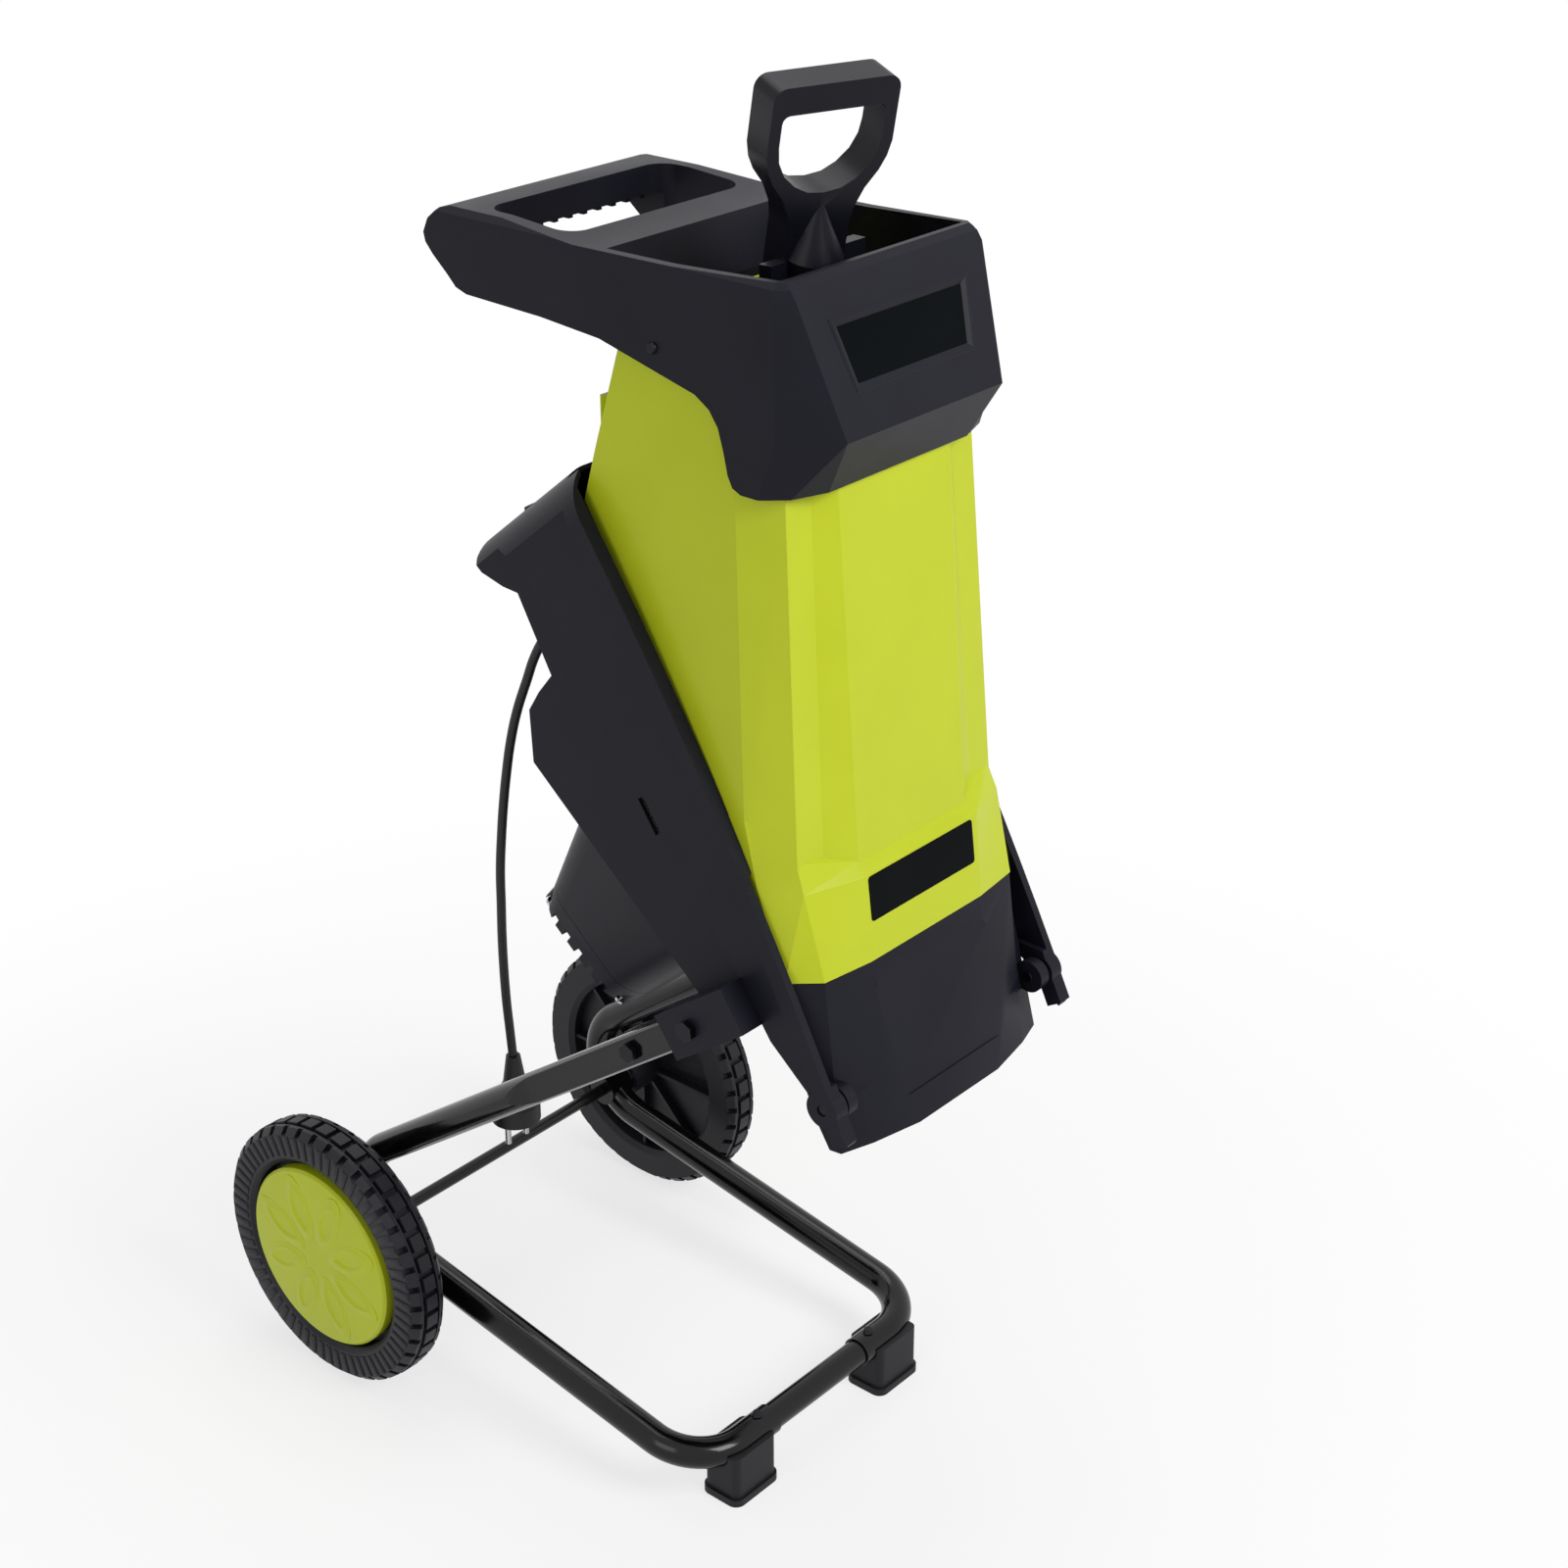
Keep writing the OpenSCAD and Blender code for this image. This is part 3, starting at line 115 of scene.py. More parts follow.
def moulded(name, dark, light, rough, grain_mm, bump_mm, spread=0.05, specular=0.5, coat=0.0):
    """Moulded plastic, rubber or coating: an even grain with soft shifts of tone and gloss."""
    made, tree, shader, coords = new_material(name)
    cloud = add(tree, "ShaderNodeTexNoise", [("Vector", coords)], Scale=1 / (60 * MM), Detail=2.0)
    grain = add(tree, "ShaderNodeTexNoise", [("Vector", coords)], Scale=1 / (grain_mm * MM), Detail=2.0,
                Roughness=0.6)
    tone = add(tree, "ShaderNodeMapRange", [("Value", cloud.outputs["Fac"])], From_Min=0.25, From_Max=0.75)
    mix = add(tree, "ShaderNodeMix", [("Factor", tone.outputs["Result"])], data_type="RGBA")
    mix.inputs[6].default_value = linear(dark)
    mix.inputs[7].default_value = linear(light)
    rub = add(tree, "ShaderNodeMath", [(0, cloud.outputs["Fac"]), (1, grain.outputs["Fac"])],
              operation="ADD")
    gloss = add(tree, "ShaderNodeMapRange", [("Value", rub.outputs[0])], From_Min=0.6, From_Max=1.4,
                To_Min=rough - spread, To_Max=rough + spread)
    bump = add(tree, "ShaderNodeBump", [("Height", grain.outputs["Fac"])], Strength=0.3,
               Distance=bump_mm * MM)
    tree.links.new(mix.outputs[2], shader.inputs["Base Color"])
    tree.links.new(gloss.outputs["Result"], shader.inputs["Roughness"])
    tree.links.new(bump.outputs["Normal"], shader.inputs["Normal"])
    shader.inputs["IOR"].default_value = 1.5
    shader.inputs["Specular IOR Level"].default_value = specular
    shader.inputs["Coat Weight"].default_value = coat
    shader.inputs["Coat Roughness"].default_value = 0.12
    return made


def plated(name, colour, rough, grain_mm):
    """Bare or plated metal: fine drawn grain that breaks up the reflections."""
    made, tree, shader, coords = new_material(name)
    grain = add(tree, "ShaderNodeTexNoise", [("Vector", coords)], Scale=1 / (grain_mm * MM), Detail=4.0)
    gloss = add(tree, "ShaderNodeMapRange", [("Value", grain.outputs["Fac"])], From_Min=0.3, From_Max=0.7,
                To_Min=rough - 0.08, To_Max=rough + 0.12)
    bump = add(tree, "ShaderNodeBump", [("Height", grain.outputs["Fac"])], Strength=0.2, Distance=0.05 * MM)
    shader.inputs["Base Color"].default_value = linear(colour)
    shader.inputs["Metallic"].default_value = 1.0
    tree.links.new(gloss.outputs["Result"], shader.inputs["Roughness"])
    tree.links.new(bump.outputs["Normal"], shader.inputs["Normal"])
    return made


# lime ABS, satin moulded: an even bright colour with soft broad highlights
LIME = moulded("lime_abs_satin", "#BDC91F", "#C2CE24", 0.36, 1.1, 0.04, specular=0.28)
# charcoal polypropylene with a spark-eroded grain: blue-grey black with a broad dull sheen
CHARCOAL = moulded("charcoal_polypropylene_grained", "#15151E", "#191923", 0.42, 0.9, 0.07, specular=0.13)
# black glass-filled nylon: finer grain, a little glossier
BLACK_NYLON = moulded("black_nylon_moulded", "#0B0B14", "#0F0F19", 0.33, 0.8, 0.04, specular=0.16)
# blow-moulded polyethylene tyre: waxy grey-black
TYRE = moulded("black_polyethylene_tyre", "#16161C", "#1C1C23", 0.48, 1.6, 0.1, specular=0.28)
# powder-coated steel tube: gloss black with a faint orange peel 2.6 mm across
PAINT = moulded("black_powder_coat_gloss", "#050506", "#08080A", 0.16, 2.6, 0.03, spread=0.04,
                specular=0.32)
# soft PVC feet: dull, slightly rubbed
PVC = moulded("soft_black_pvc", "#121217", "#18181E", 0.55, 1.2, 0.1, specular=0.28)
# rubber cord sheath and plug: dull black
SHEATH = moulded("black_rubber_sheath", "#0C0C0E", "#121215", 0.5, 1.0, 0.05, specular=0.4)
# bare plates: glossy black polycarbonate film with faint waviness
FILM = moulded("black_polycarbonate_film", "#04070A", "#070B0E", 0.3, 3.0, 0.01, spread=0.03, specular=0.03)
# blackened zinc on the screws and bolts: dark with a dull metal gloss
BLACK_ZINC = plated("black_zinc_plate", "#2A2A2E", 0.38, 1.2)
# grey nylon fan: plain mid grey, set apart from the black case
FAN_NYLON = moulded("grey_nylon_fan", "#34363B", "#3D3F45", 0.5, 1.0, 0.05)
# green ABS button: a clear glossy green that reads as on
ON_GREEN = moulded("green_abs_button", "#1E8A3A", "#249643", 0.32, 1.0, 0.03)
# red ABS button: a clear glossy red that reads as off
OFF_RED = moulded("red_abs_button", "#B81F1F", "#C62626", 0.32, 1.0, 0.03)
# pressed carbon brushes: dull dark grey with a fine powdery grain
CARBON = moulded("pressed_carbon", "#1C1C1E", "#262628", 0.6, 0.6, 0.05)
# varnished laminations: amber brown under a thin clear coat
VARNISH = moulded("varnished_laminations", "#5A4630", "#6B5238", 0.35, 0.7, 0.05, coat=0.3)
# bright zinc on washers and screws: pale metal with soft broken highlights
ZINC = plated("bright_zinc_plate", "#C4C7CA", 0.28, 1.5)
# ground steel of the blades, shaft and bearings: cool grey with a fine ground grain
STEEL = plated("ground_steel", "#B4B7BB", 0.3, 0.8)
# bare copper of the windings and commutator: warm orange metal
COPPER = plated("bare_copper", "#C77B4A", 0.32, 0.9)
# turned brass: yellow metal with a soft gloss
BRASS = plated("turned_brass", "#CDA55A", 0.3, 0.9)

# finish of each node, and the radius in millimetres of its moulded edges where its copy is dressed:
# 0 leaves the edges sharp, and None keeps the node itself
FINISH = {
    PAINT: {"side_tube_left": 0, "side_tube_right": 0, "cross_tube": 0, "axle": 0},
    CHARCOAL: {"rear_housing": 1.8, "hopper_top": 2.4, "discharge_guard": 1.5, "motor_cover": 1.2},
    BLACK_NYLON: {"switch_box": 1.0, "clamp_knob": 1.2, "pusher": 3.5, "pusher_foot": 1.5,
                  "cord_gland": 0.4, "reset_button": 0.4},
    PVC: {"foot_left": 1.8, "foot_right": 1.8},
    LIME: {"chute": 1.6, "chute_back": 1.2, "wheel_cover_left": 0.6, "wheel_cover_right": 0.6},
    TYRE: {"wheel_left": 0.6, "wheel_right": 0.6},
    SHEATH: {"plug": 1.0},
    ON_GREEN: {"on_button": 0.6},
    OFF_RED: {"off_button": 0.6},
    BLACK_ZINC: {"foot_screws": 0.3, "leg_bolts": 0.4, "chute_screws": 0.3, "hopper_screws": 0.3,
                 "guard_screws": 0.3, "pusher_screw": 0.3, "axle_nuts": 0.3, "hinge_pins": 0.4},
    ZINC: {"wheel_washers": None, "cover_screws": None, "blade_screws": None, "disc_nut": None,
           "clamp_screw": None, "plug_pins": None},
    STEEL: {"bearing_upper": None, "bearing_lower": None, "motor_shaft": None, "blade_disc": None,
            "blade_front": None, "blade_rear": None},
    COPPER: {"commutator": None, "armature": None},
    VARNISH: {"stator": None},
    BRASS: {"brush_holders": None, "clamp_insert": None},
    CARBON: {"brushes": None},
    FAN_NYLON: {"fan": None},
}


def piece(name, bm, material, body, smooth=40):
    """Makes a bmesh into a finished piece that rides a body: smooth, with sharp edges above an angle."""
    for f in bm.faces:
        f.smooth = True
    for e in bm.edges:
        e.smooth = not (len(e.link_faces) != 2 or e.calc_face_angle(0) > math.radians(smooth))
    mesh = bpy.data.meshes.new(name)
    bm.to_mesh(mesh)
    bm.free()
    mesh.materials.append(material)
    made = bpy.data.objects.new(name, mesh)
    bpy.context.scene.collection.objects.link(made)
    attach(made, body)
    return made


PIVOT_LOW, PIVOT_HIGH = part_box("hinge_pins")
PIVOT = (PIVOT_LOW + PIVOT_HIGH) / 2

# slot in each side of the skirt: its place in the solids, then its place along the rim
# (its middle, its lean back from upright, its half length and its half width)
SLOT_LEAN = math.radians(35)
CUT_SLOT = (upper(0, 295, 560), -SLOT_LEAN, 22, 4)
RIM_SLOT = (upper(0, 290.3, 561.2), SLOT_LEAN, 13.5, 2.75)
# flat faces of the skirt's side, from the middle of the machine outwards
SIDE_INNER = 115
SIDE_OUTER = 118
SIDE_RAISED = 123
# room for rounding when points are matched to these places
SLACK = 0.05


def along(lean):
    """Unit vector in the side view, leaning back from upright."""
    return Vector((0, math.sin(lean), math.cos(lean)))


def within(face, slot):
    """True when a face lies wholly on or inside a slot."""
    centre, lean, half_long, half_wide = slot
    ways = [v.co - centre for v in face.verts]
    return all(abs(w.dot(along(lean))) < (half_long + SLACK) * MM and
               abs(w.dot(along(lean + math.pi / 2))) < (half_wide + SLACK) * MM for w in ways)


def level(v, x):
    """True when a point is x millimetres from the middle of the machine."""
    return abs(v.co.x - x * MM) < 0.02 * MM


def turn_slots(bm):
    """Closes the slot in each side of the skirt and opens it again along the rim."""
    bmesh.ops.delete(bm, geom=[f for f in bm.faces if within(f, CUT_SLOT)], context="FACES")
    rim = list(dict.fromkeys(v for e in bm.edges if e.is_boundary for v in e.verts))
    centre, lean, half_long, half_wide = RIM_SLOT
    for side in (-1, 1):
        for x in (SIDE_INNER, SIDE_OUTER, SIDE_RAISED):
            bmesh.ops.contextual_create(bm, geom=[v for v in rim if level(v, side * x)])
        raised = [v for v in rim if level(v, side * SIDE_RAISED)]
        step = [(v, w) for v in raised for w in rim if level(w, side * SIDE_OUTER) and
                (w.co - v.co).length < (SIDE_RAISED - SIDE_OUTER + SLACK) * MM]
        bmesh.ops.contextual_create(bm, geom=[v for pair in step for v in pair])
        for x in (SIDE_INNER, SIDE_OUTER):
            for way, half in ((along(lean), half_long), (along(lean + math.pi / 2), half_wide)):
                for end in (-1, 1):
                    flat = [f for f in bm.faces if all(level(v, side * x) for v in f.verts)]
                    edges = dict.fromkeys(e for f in flat for e in f.edges)
                    verts = dict.fromkeys(v for f in flat for v in f.verts)
                    bmesh.ops.bisect_plane(bm, geom=[*verts, *edges, *flat], plane_no=way,
                                           plane_co=centre + way * end * half * MM)
            bmesh.ops.delete(bm, geom=[f for f in bm.faces if within(f, RIM_SLOT) and
                                       all(level(v, side * x) for v in f.verts)], context="FACES")
        open_edges = [e for e in bm.edges if e.is_boundary and e.verts[0].co.x * side > 0]
        bmesh.ops.bridge_loops(bm, edges=open_edges)
    bmesh.ops.recalc_face_normals(bm, faces=bm.faces)


# the guard's front wall lies between the inner ends of its pivot bosses, and its bores have this reach
BOSS_INNER = 102
BORE_REACH = 4.4


def close_bores(bm):
    """Runs the guard's front wall on past its pivot bores."""
    for side in (-1, 1):
        bmesh.ops.bisect_plane(bm, geom=bm.verts[:] + bm.edges[:] + bm.faces[:], plane_no=(1, 0, 0),
                               plane_co=(side * BOSS_INNER * MM, 0, 0))

    def in_bore(v):
        return (abs(v.co.x) < (BOSS_INNER + 0.1) * MM and
                math.hypot(v.co.y - PIVOT.y, v.co.z - PIVOT.z) < BORE_REACH * MM)

    bore = [f for f in bm.faces if all(in_bore(v) for v in f.verts)]
    bmesh.ops.delete(bm, geom=bore, context="FACES")
    bmesh.ops.holes_fill(bm, edges=[e for e in bm.edges if e.is_boundary], sides=0)


# points this close become one, and faces that bend less than this become one
JOIN_MM = 0.004
FLAT_DEGREES = 0.6


def merged(node):
    """A copy of a node's mesh with its points joined and its flat faces whole."""
    bm = bmesh.new()
    bm.from_mesh(NODES[node].data)
    bmesh.ops.remove_doubles(bm, verts=bm.verts, dist=JOIN_MM * MM)
    if node == "rear_housing":
        turn_slots(bm)
    if node == "discharge_guard":
        close_bores(bm)
    bmesh.ops.dissolve_limit(bm, angle_limit=math.radians(FLAT_DEGREES), verts=bm.verts, edges=bm.edges,
                             use_dissolve_boundaries=False)
    return bm


def surface(node, start, direction):
    """The point and the outward normal where a ray first meets a node."""
    bm = bmesh.new()
    bm.from_mesh(NODES[node].data)
    place, normal, _, _ = BVHTree.FromBMesh(bm).ray_cast(start, direction)
    bm.free()
    return place, normal if normal.dot(direction) < 0 else -normal


FORWARD = Vector((0, 1, 0))
WINDOW_RAY = upper(0, 700, 887)
WINDOW = surface("hopper_top", WINDOW_RAY, FORWARD)
# bends up to this many degrees are shaded as one curve and get no rounded edge
PLAIN_CURVE = 16
CURVE = {"pusher": 36}
# how far the recess under the window frame reaches from the middle of the window
WINDOW_REACH = 75


def covered(node, edge):
    """True for the edges of the recess that lies under the window frame."""
    return node == "hopper_top" and all((v.co - WINDOW[0]).length < WINDOW_REACH * MM for v in edge.verts)


def dressed(node, material, round_mm):
    """A merged copy that stands for its node, with its moulded edges rounded by a Bevel modifier."""
    bm = merged(node)
    bend = CURVE.get(node, PLAIN_CURVE)
    weight = bm.edges.layers.float.new("bevel_weight_edge")
    for e in bm.edges:
        e[weight] = 1.0 if e.calc_face_angle(0) > math.radians(bend + 1) and not covered(node, e) else 0.0
    made = piece(node + "_skin", bm, material, BODY_OF[node], bend)
    if round_mm:
        soft = made.modifiers.new("moulded_edge", "BEVEL")
        soft.width = round_mm * MM
        soft.segments = 3
        soft.profile = 0.5
        soft.limit_method = "WEIGHT"
        soft.use_clamp_overlap = True
        soft.harden_normals = True
    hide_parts(node)
    return made


for finish, names in FINISH.items():
    for n, round_mm in names.items():
        NODES[n].data.materials.clear()
        NODES[n].data.materials.append(finish)
        if round_mm is not None:
            dressed(n, finish, round_mm)

# supply cord: out of its gland, then hanging down to the plug
GLAND_AT = (-62, 187.526, 665.747)
GLAND_WAY = (0, -0.87336, -0.48707)
GLAND = [tuple(a + w * k for a, w in zip(GLAND_AT, GLAND_WAY)) for k in (5, 15, 28)]
HANG = [(-62.5, 153, 644), (-63, 143, 633), (-64, 132, 615), (-65, 123, 593), (-67, 114, 568),
        (-68, 107, 543), (-69, 102, 517), (-70, 98, 490), (-71, 95, 462), (-72, 93, 434), (-72, 92, 406),
        (-72, 91, 378), (-72, 91, 350), (-72, 92, 322), (-71, 93, 296), (-70, 94, 270)]
CORD_DIAMETER = 7
CORD = [upper(*p) for p in GLAND + HANG]
cord_line = bpy.data.curves.new("supply_cord_line", "CURVE")
cord_line.dimensions = "3D"
cord_line.bevel_depth = CORD_DIAMETER / 2 * MM
cord_line.bevel_resolution = 5
cord_line.resolution_u = 6
cord_line.use_fill_caps = True
run = cord_line.splines.new("BEZIER")
run.bezier_points.add(len(CORD) - 1)
for knot, place in zip(run.bezier_points, CORD):
    knot.co = place
    knot.handle_left_type = knot.handle_right_type = "AUTO"
cord_line.materials.append(SHEATH)
cord = bpy.data.objects.new("supply_cord_sheath", cord_line)
bpy.context.scene.collection.objects.link(cord)
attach(cord, "chassis")
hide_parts("supply_cord")


def seat(place, normal):
    """A frame on a surface that faces forward: x across the machine, y up the face, z out of it."""
    across = Vector((1, 0, 0))
    up = normal.cross(across).normalized()
    return Matrix((across, up, normal)).transposed().to_4x4(), place


def outline(bm, corners, round_mm):
    """A flat face from its corners in millimetres, with the corners rounded."""
    face = bm.faces.new([bm.verts.new(Vector((x, y, 0)) * MM) for x, y in corners])
    bmesh.ops.bevel(bm, geom=face.verts[:], offset=round_mm * MM, affect="VERTICES", segments=4,
                    profile=0.5, material=-1)
    return bm.faces[:]


def plate(name, corners, round_mm, thick_mm, turn, place, material, body):
    """A thin plate with rounded corners and softened front edges, seated on a face."""
    bm = bmesh.new()
    top = outline(bm, corners, round_mm)
    back = bmesh.ops.extrude_face_region(bm, geom=top)
    lifted = [v for v in back["geom"] if isinstance(v, bmesh.types.BMVert)]
    bmesh.ops.translate(bm, vec=(0, 0, thick_mm * MM), verts=lifted)
    bmesh.ops.recalc_face_normals(bm, faces=bm.faces)
    front = [e for e in bm.edges if all(v.co.z > 0.5 * thick_mm * MM for v in e.verts)]
    bmesh.ops.bevel(bm, geom=front, offset=0.35 * thick_mm * MM, affect="EDGES", segments=2, profile=0.5,
                    material=-1)
    bmesh.ops.transform(bm, matrix=Matrix.Translation(place) @ turn, verts=bm.verts)
    return piece(name, bm, material, body, 10)


# bare plate on the band of the chute
turn, place = seat(*surface("chute", upper(0, 700, 521), FORWARD))
BAND = [(-56, -16), (56, -16), (56, 16), (-56, 16)]
sunk = place - turn.to_3x3().col[2] * 0.1 * MM
plate("chute_band_plate", BAND, 2.5, 0.6, turn, sunk, FILM, "hopper")

# glossy window in the field on the hopper front, with its bevelled frame
floor_at, out = WINDOW
turn, place = seat(floor_at, out)
# half widths of the field at its foot and its top, and its half height
FIELD_FOOT = 58
FIELD_TOP = 67
FIELD_HALF = 23
FIELD_LEAN = (FIELD_TOP - FIELD_FOOT) / (2 * FIELD_HALF)
# how far in from the edge of the field the glossy plate starts
GLASS_INSET = 4.6


def field(inset):
    """Corners of the field in millimetres, moved in from its edge."""
    def half(y):
        return (FIELD_FOOT + FIELD_TOP) / 2 + FIELD_LEAN * y - inset * math.hypot(1, FIELD_LEAN)
    high = FIELD_HALF - inset
    return [(-half(-high), -high), (half(-high), -high), (half(high), high), (-half(high), high)]


plate("hopper_window_plate", field(GLASS_INSET), 1.0, 0.5, turn, place, FILM, "hopper")
# the hopper's face just above and below the field gives the depth of its recess
beyond = turn.to_3x3().col[1] * (FIELD_HALF + 6) * MM
above = surface("hopper_top", WINDOW_RAY + beyond, FORWARD)[0]
below = surface("hopper_top", WINDOW_RAY - beyond, FORWARD)[0]
DEPTH = ((above - floor_at).dot(out) + (below - floor_at).dot(out)) / 2 / MM
# section of the frame: distance in from the edge of the field, and height over the floor of its recess
LIP = DEPTH + 0.65
SECTION = [(-1.0, DEPTH - 0.4), (-1.0, DEPTH + 0.15), (0.0, LIP), (1.2, LIP), (5.4, 0.05), (5.4, -0.3)]
bm = bmesh.new()
rings = [[bm.verts.new(Vector((x, y, z)) * MM) for x, y in field(inset)] for inset, z in SECTION]
for one, other in zip(rings, rings[1:] + rings[:1]):
    for i in range(4):
        bm.faces.new((one[i], one[i - 1], other[i - 1], other[i]))
bmesh.ops.transform(bm, matrix=Matrix.Translation(place) @ turn, verts=bm.verts)
bmesh.ops.recalc_face_normals(bm, faces=bm.faces)
piece("hopper_window_frame", bm, CHARCOAL, "hopper", 12)


# ribbed lug on the back of the chute, near its left edge: its size, the radius of its outer edges,
# and the border and depth of the hollow in each side
LUG_SIZE = (15, 28, 34)
LUG_ROUND = 4
LUG_BORDER = 3
LUG_HOLLOW = 2.5
place, out = surface("chute_back", upper(-84, -300, 817), -FORWARD)
bm = bmesh.new()
bmesh.ops.create_cube(bm, size=1)
bmesh.ops.scale(bm, vec=Vector(LUG_SIZE) * MM, verts=bm.verts)
outer = [e for e in bm.edges if all(v.co.y > 0 for v in e.verts)]
bmesh.ops.bevel(bm, geom=outer, offset=LUG_ROUND * MM, affect="EDGES", segments=3, profile=0.5, material=-1)
sides = [f for f in bm.faces if abs(f.normal.x) > 0.95]
bmesh.ops.inset_individual(bm, faces=sides, thickness=LUG_BORDER * MM, depth=-LUG_HOLLOW * MM)
bmesh.ops.translate(bm, vec=place, verts=bm.verts)
bmesh.ops.recalc_face_normals(bm, faces=bm.faces)
piece("chute_back_lug", bm, LIME, "hopper")


# middle of each tyre across the machine
WHEEL_X = 180


def wheel_turn(side):
    """Wheel frame: z out along the axle, in the middle of the tyre."""
    hub = Matrix.Translation(Vector((side * WHEEL_X, AXLE_Y, AXLE_Z)) * MM)
    return hub @ Matrix.Rotation(side * math.pi / 2, 4, "Y")


# ribs round the tyre wall: how many, their size along the radius, round the wheel and out, and their place
RIBS = 64
RIB_SIZE = (17, 6.2, 2.2)
RIB_RADIUS = 94.5
RIB_OUT = 16.4
# radius where a rib has its full width
RIB_FULL = 98


def ring_of(bm, count):
    """Copies a bmesh round the axle."""
    bmesh.ops.spin(bm, geom=bm.verts[:] + bm.edges[:] + bm.faces[:], cent=(0, 0, 0), axis=(0, 0, 1),
                   angle=2 * math.pi * (count - 1) / count, steps=count - 1, use_duplicate=True)


def on_wheel(name, bm, material, side, word, smooth):
    """Sets a bmesh on a wheel as a finished piece."""
    bmesh.ops.transform(bm, matrix=wheel_turn(side), verts=bm.verts)
    bmesh.ops.recalc_face_normals(bm, faces=bm.faces)
    piece(name + "_" + word, bm, material, word + " wheel", smooth)


def tyre_ribs(side, word):
    """Radial ribs round the tyre wall, a little wider outwards."""
    bm = bmesh.new()
    bmesh.ops.create_cube(bm, size=1)
    bmesh.ops.scale(bm, vec=Vector(RIB_SIZE) * MM, verts=bm.verts)
    bmesh.ops.translate(bm, vec=Vector((RIB_RADIUS, 0, RIB_OUT)) * MM, verts=bm.verts)
    for v in bm.verts:
        v.co.y *= v.co.x / (RIB_FULL * MM)
    top = [e for e in bm.edges if all(v.co.z > (RIB_OUT + 0.1) * MM for v in e.verts)]
    bmesh.ops.bevel(bm, geom=top, offset=0.8 * MM, affect="EDGES", segments=2, profile=0.5, material=-1)
    ring_of(bm, RIBS)
    on_wheel("tyre_wall_ribs", bm, TYRE, side, word, 40)


# leaf dimples on the cover: how many, the half length and half width of one, its middle, and the face's slope
LEAVES = 8
LEAF_LONG = 28.5
LEAF_WIDE = 13
LEAF_RADIUS = 42.6
COVER_OUT = 20.05
COVER_SLOPE = 0.026
# how deep its foot is sunk, the width of its border, and the share of its length that the inner edge
# keeps, measured about a radius
LEAF_SUNK = 0.9
LEAF_BORDER = 2.6
LEAF_KEEP = 0.8
LEAF_ABOUT = 40
# steps of the lip and the dish, from its edge inwards: how far in, and how far up
LEAF_STEPS = ((0.9, 0.5), (0.9, 0.1), (1.2, -0.7), (1.6, -0.8), (1.8, -0.4))


def leaf_dimples(side, word):
    """Soft leaf dimples with a raised lip."""
    bm = bmesh.new()
    bmesh.ops.create_circle(bm, cap_ends=True, segments=36, radius=1.0)
    for v in bm.verts:
        reach = LEAF_LONG * v.co.x
        v.co = Vector((LEAF_RADIUS + reach, LEAF_WIDE * v.co.y, COVER_OUT - COVER_SLOPE * reach)) * MM
    rim = bmesh.ops.extrude_face_region(bm, geom=bm.faces[:])
    dish = [f for f in rim["geom"] if isinstance(f, bmesh.types.BMFace)]
    top = {v for f in dish for v in f.verts}
    for v in bm.verts:
        if v not in top:
            v.co.z -= LEAF_SUNK * MM
    bmesh.ops.inset_region(bm, faces=dish, thickness=LEAF_BORDER * MM, depth=0.05 * MM,
                           use_even_offset=False)
    inner = list(dict.fromkeys(v for f in dish for v in f.verts))
    bmesh.ops.scale(bm, vec=(LEAF_KEEP, 1, 1), space=Matrix.Translation((-LEAF_ABOUT * MM, 0, 0)),
                    verts=inner)
    # the round edge is drawn in to a point at both ends
    middle = sum(v.co.x for v in inner) / len(inner)
    half = max(abs(v.co.x - middle) for v in inner)
    for v in inner:
        v.co.y *= max(0.0, 1.02 - ((v.co.x - middle) / half) ** 2) ** 0.25
    for thick, deep in LEAF_STEPS:
        bmesh.ops.inset_region(bm, faces=dish, thickness=thick * MM, depth=deep * MM, use_even_offset=False)
    bmesh.ops.poke(bm, faces=dish)
    ring_of(bm, LEAVES)
    bmesh.ops.rotate(bm, cent=(0, 0, 0), matrix=Matrix.Rotation(math.pi / LEAVES, 3, "Z"), verts=bm.verts)
    on_wheel("cover_leaf_dimples", bm, LIME, side, word, 70)


for side, word in ((-1, "left"), (1, "right")):
    tyre_ribs(side, word)
    leaf_dimples(side, word)

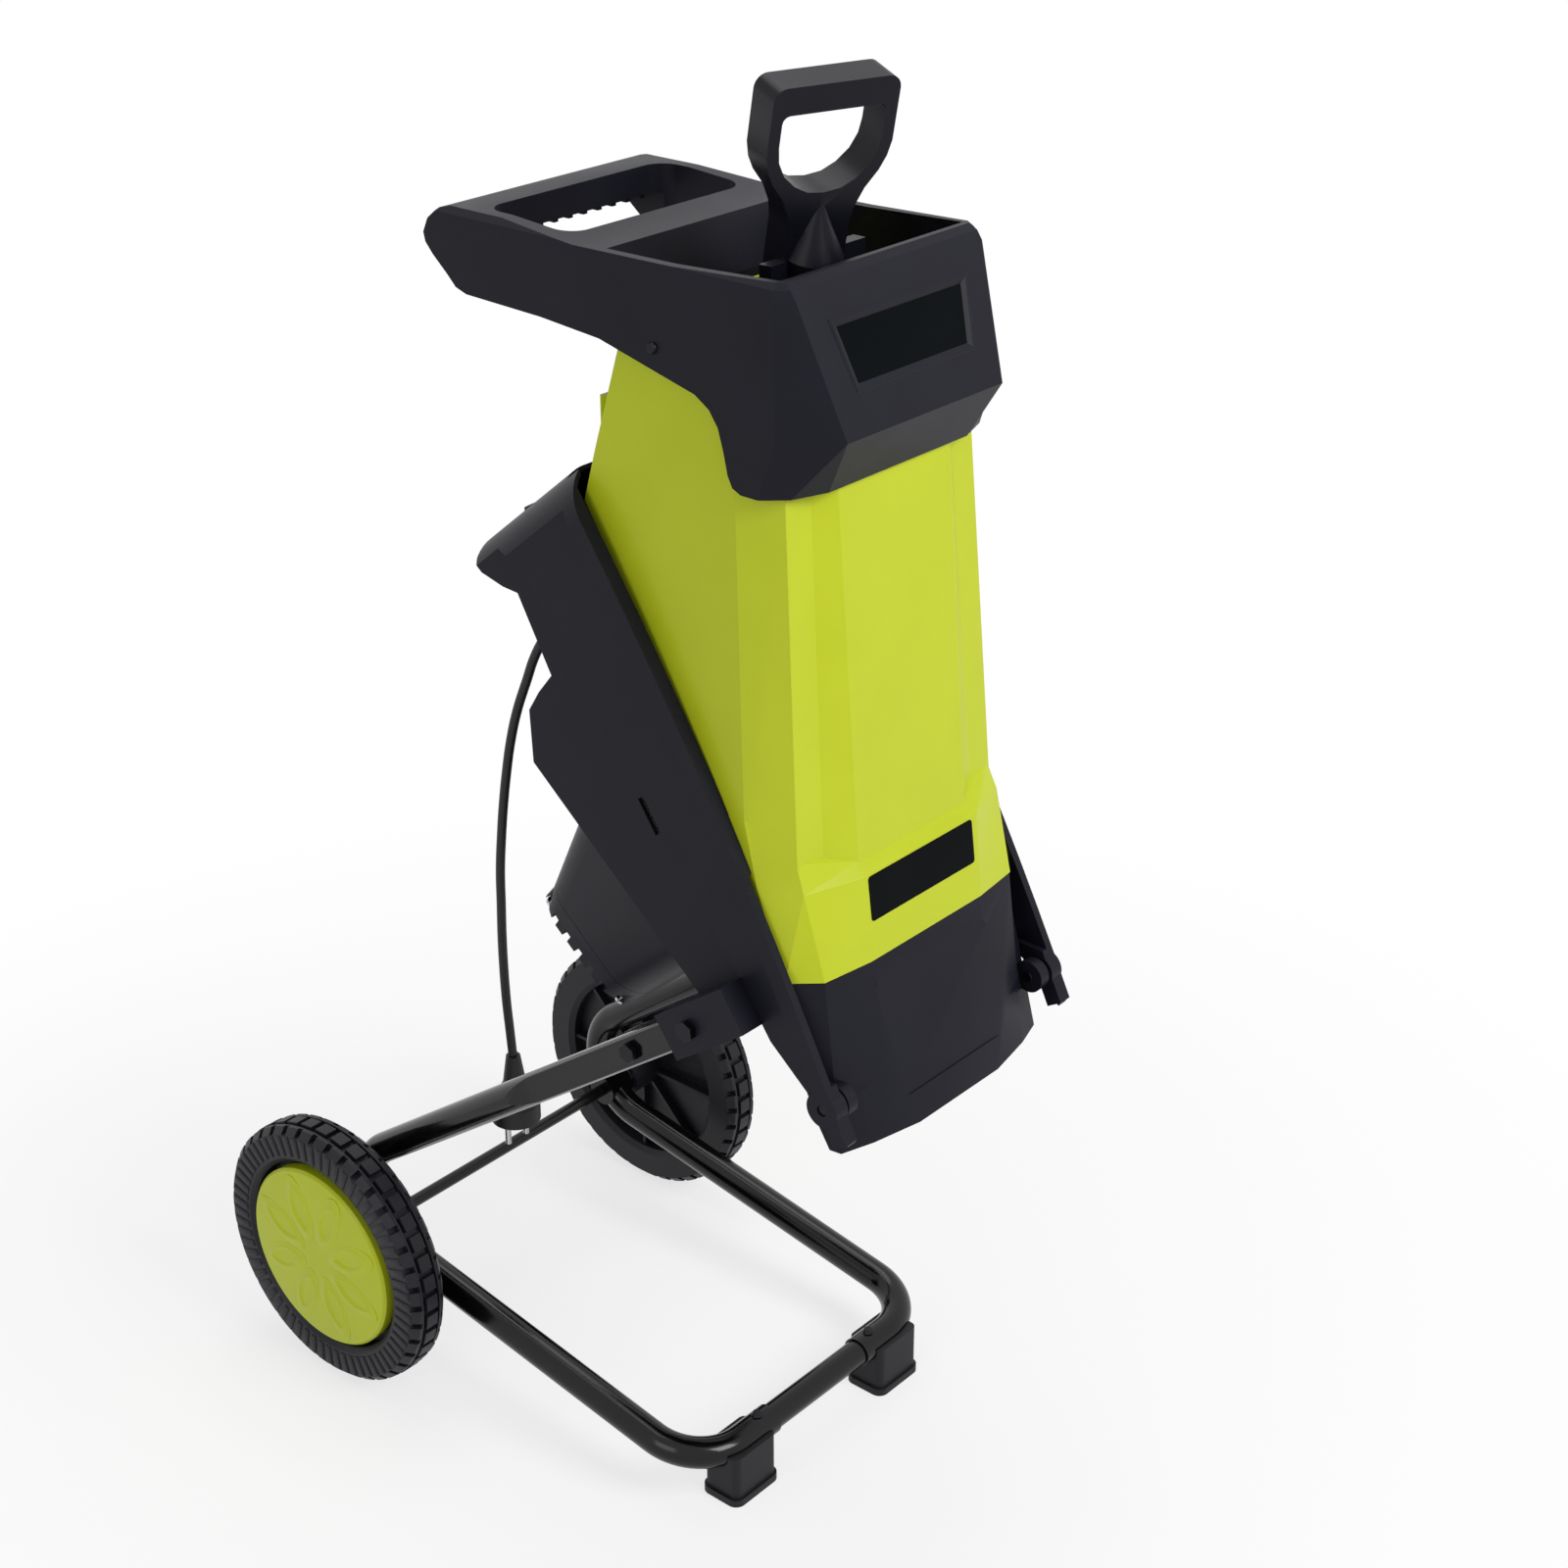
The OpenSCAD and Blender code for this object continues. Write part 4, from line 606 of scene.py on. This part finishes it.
# pale matt floor: it takes the soft shadow near the machine and is plain white further out
floor_mesh = bpy.data.meshes.new("floor")
bm = bmesh.new()
bmesh.ops.create_grid(bm, x_segments=1, y_segments=1, size=12.0)
bm.to_mesh(floor_mesh)
bm.free()
floor = bpy.data.objects.new("floor", floor_mesh)
bpy.context.scene.collection.objects.link(floor)
pale, tree, shader, coords = new_material("pale_studio_floor")
shader.inputs["Base Color"].default_value = linear("#F4F4F4")
shader.inputs["Roughness"].default_value = 0.9
shader.inputs["Specular IOR Level"].default_value = 0.1
reach = add(tree, "ShaderNodeVectorMath", [(0, coords)], operation="LENGTH")
far = add(tree, "ShaderNodeMapRange", [("Value", reach.outputs["Value"])], From_Min=0.25, From_Max=1.1,
          To_Min=0.72, To_Max=1.0, interpolation_type="SMOOTHSTEP")


def seen_directly(tree):
    """1 for camera, glossy and transmission rays."""
    rays = add(tree, "ShaderNodeLightPath")
    both = add(tree, "ShaderNodeMath",
               [(0, rays.outputs["Is Camera Ray"]), (1, rays.outputs["Is Glossy Ray"])], operation="MAXIMUM")
    return add(tree, "ShaderNodeMath", [(0, both.outputs[0]), (1, rays.outputs["Is Transmission Ray"])],
               operation="MAXIMUM").outputs[0]


share = add(tree, "ShaderNodeMath", [(0, far.outputs["Result"]), (1, seen_directly(tree))],
            operation="MULTIPLY")
white = add(tree, "ShaderNodeEmission", Color=(1, 1, 1, 1), Strength=1.0)
blend = add(tree, "ShaderNodeMixShader",
            [("Fac", share.outputs[0]), (1, shader.outputs[0]), (2, white.outputs[0])])
tree.links.new(blend.outputs[0], tree.nodes["Material Output"].inputs["Surface"])
floor_mesh.materials.append(pale)

world = bpy.data.worlds.new("studio")
bpy.context.scene.world = world
world.use_nodes = True
tree = world.node_tree
strength = add(tree, "ShaderNodeMapRange", [("Value", seen_directly(tree))], To_Min=0.32, To_Max=1.0)
back = tree.nodes["Background"]
back.inputs["Color"].default_value = (1, 1, 1, 1)
tree.links.new(strength.outputs["Result"], back.inputs["Strength"])


def lamp(name, place, target, size, power):
    """A square soft box."""
    data = bpy.data.lights.new(name, "AREA")
    data.shape = "SQUARE"
    data.size = size
    data.energy = power
    made = bpy.data.objects.new(name, data)
    bpy.context.scene.collection.objects.link(made)
    made.location = place
    made.rotation_euler = (Vector(target) - Vector(place)).to_track_quat("-Z", "Y").to_euler()


lamp("key_box", (0.3, -2.6, 2.4), (0, 0, 0.5), 1.4, 60)
lamp("side_box", (-2.6, -0.4, 1.4), (0, 0, 0.4), 1.4, 12)
lamp("top_box", (0.4, 0.6, 3.0), (0, 0, 0.5), 1.8, 22)
